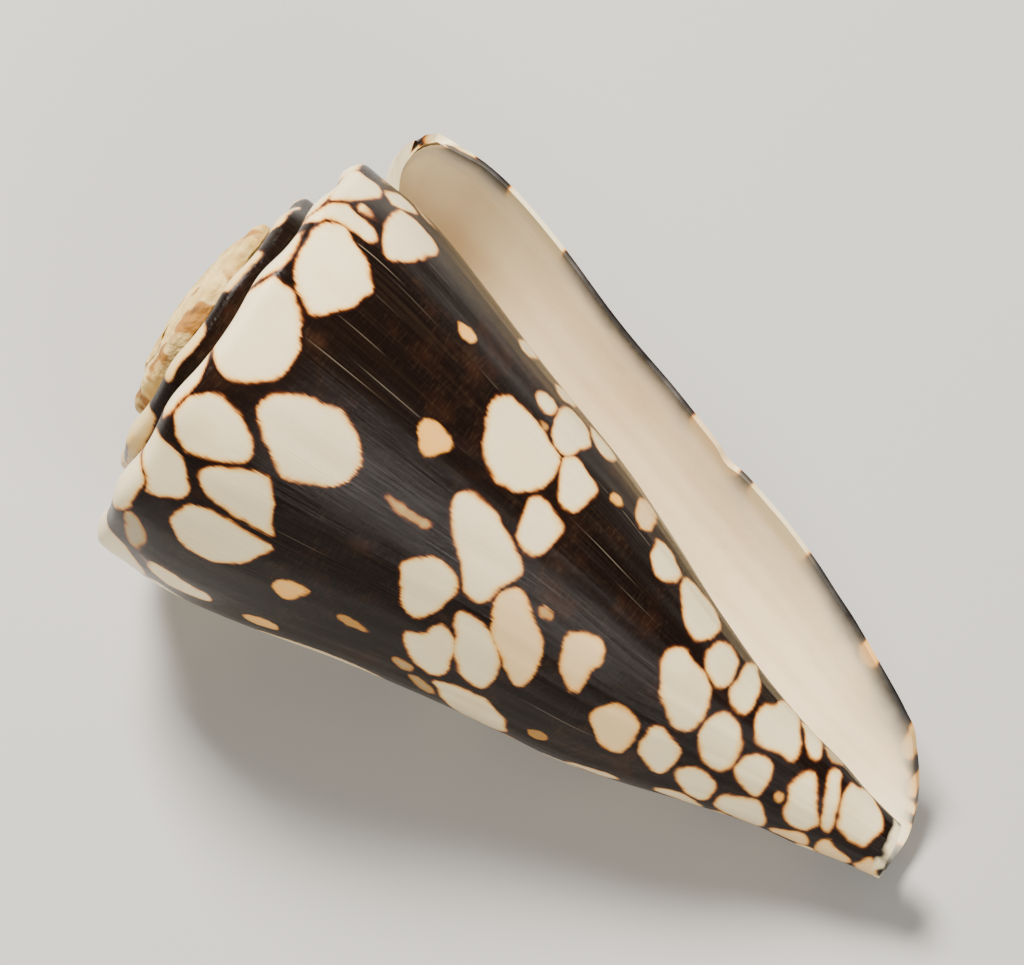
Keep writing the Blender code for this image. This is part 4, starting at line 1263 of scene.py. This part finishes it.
roughness = plus(POLISHED, times(stretch(silk, *SILK_FEEL), SILK_ROUGHNESS))
roughness = plus(roughness, times(chalky, WORN_ROUGHNESS))
roughness = plus(roughness, times(inner, INNER_ROUGHNESS))
wire(roughness, polish.inputs["Roughness"])
polish.inputs["Specular IOR Level"].default_value = SHINE
lines = bump(plus(silk, times(threads, THREAD_SHARE)), LINE_DEPTH, LINE_STRENGTH)
pits = times(plus(small_clouds, times(grit, GRIT_SHARE)), plus(POLISHED_PITS, chalky))
wire(bump(pits, PIT_DEPTH, PIT_STRENGTH, lines), polish.inputs["Normal"])
shell.data.materials.append(shell_colour)
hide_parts("shell")
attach(shell, "root")

# Floor: a plain pale sheet of card under the shell
FLOOR_SIZE = 3.0
FLOOR_COLOUR, FLOOR_ROUGHNESS = (0.46, 0.45, 0.43, 1.0), 0.85
bpy.ops.mesh.primitive_plane_add(size=FLOOR_SIZE, location=(0.0, 0.0, 0.0))
floor = bpy.context.active_object
floor.name = "floor"
floor_card = bpy.data.materials.new("pale card")
floor_card.use_nodes = True
card = floor_card.node_tree.nodes["Principled BSDF"]
card.inputs["Base Color"].default_value = FLOOR_COLOUR
card.inputs["Roughness"].default_value = FLOOR_ROUGHNESS
floor.data.materials.append(floor_card)

# Camera: a long lens that looks down on the aperture, as the photograph does, and at its scale
VIEW_FROM = Vector((0.2266, -0.3907, 0.8922))
PICTURE_UP = Vector((-0.5065, 0.7351, 0.4506))
VIEW_CENTRE = Vector((0.0, 0.0, 0.025))
PICTURE_SHIFT = (-0.0046, 0.0039)
PICTURE_WIDTH = 1024
LENS = 200.0
SENSOR = 36.0

camera_data = bpy.data.cameras.new("camera")
camera_data.lens = LENS
camera_data.sensor_fit = "HORIZONTAL"
camera_data.sensor_width = SENSOR
camera = bpy.data.objects.new("camera", camera_data)
bpy.context.scene.collection.objects.link(camera)
distance = PICTURE_WIDTH / SIDE_SCALE * LENS / SENSOR
backwards = VIEW_FROM.normalized()
sideways = PICTURE_UP.cross(backwards).normalized()
camera_axes = Matrix((sideways, backwards.cross(sideways), backwards)).transposed()
view_at = VIEW_CENTRE + PICTURE_SHIFT[0] * sideways + PICTURE_SHIFT[1] * backwards.cross(sideways)
camera.matrix_world = Matrix.Translation(view_at + distance * backwards) @ camera_axes.to_4x4()
bpy.context.scene.camera = camera

# Light: one large soft lamp high on the left, a weaker one on the right, and a pale room
LAMPS = (
    ("key lamp", (-0.35, 0.15, 0.55), 0.20, 14.0),
    ("fill lamp", (0.45, -0.35, 0.40), 0.30, 4.0),
)
LAMP_COLOUR = (1.0, 0.955, 0.89)
ROOM_COLOUR, ROOM_STRENGTH = (1.0, 0.98, 0.95, 1.0), 0.23
for name, position, size, power in LAMPS:
    lamp_data = bpy.data.lights.new(name, "AREA")
    lamp_data.size = size
    lamp_data.energy = power
    lamp_data.color = LAMP_COLOUR
    lamp = bpy.data.objects.new(name, lamp_data)
    lamp.location = position
    lamp.rotation_euler = (-Vector(position)).to_track_quat("-Z", "Y").to_euler()
    bpy.context.scene.collection.objects.link(lamp)
pale_room = bpy.data.worlds.new("pale room")
pale_room.use_nodes = True
background = pale_room.node_tree.nodes["Background"]
background.inputs["Color"].default_value = ROOM_COLOUR
background.inputs["Strength"].default_value = ROOM_STRENGTH
bpy.context.scene.world = pale_room
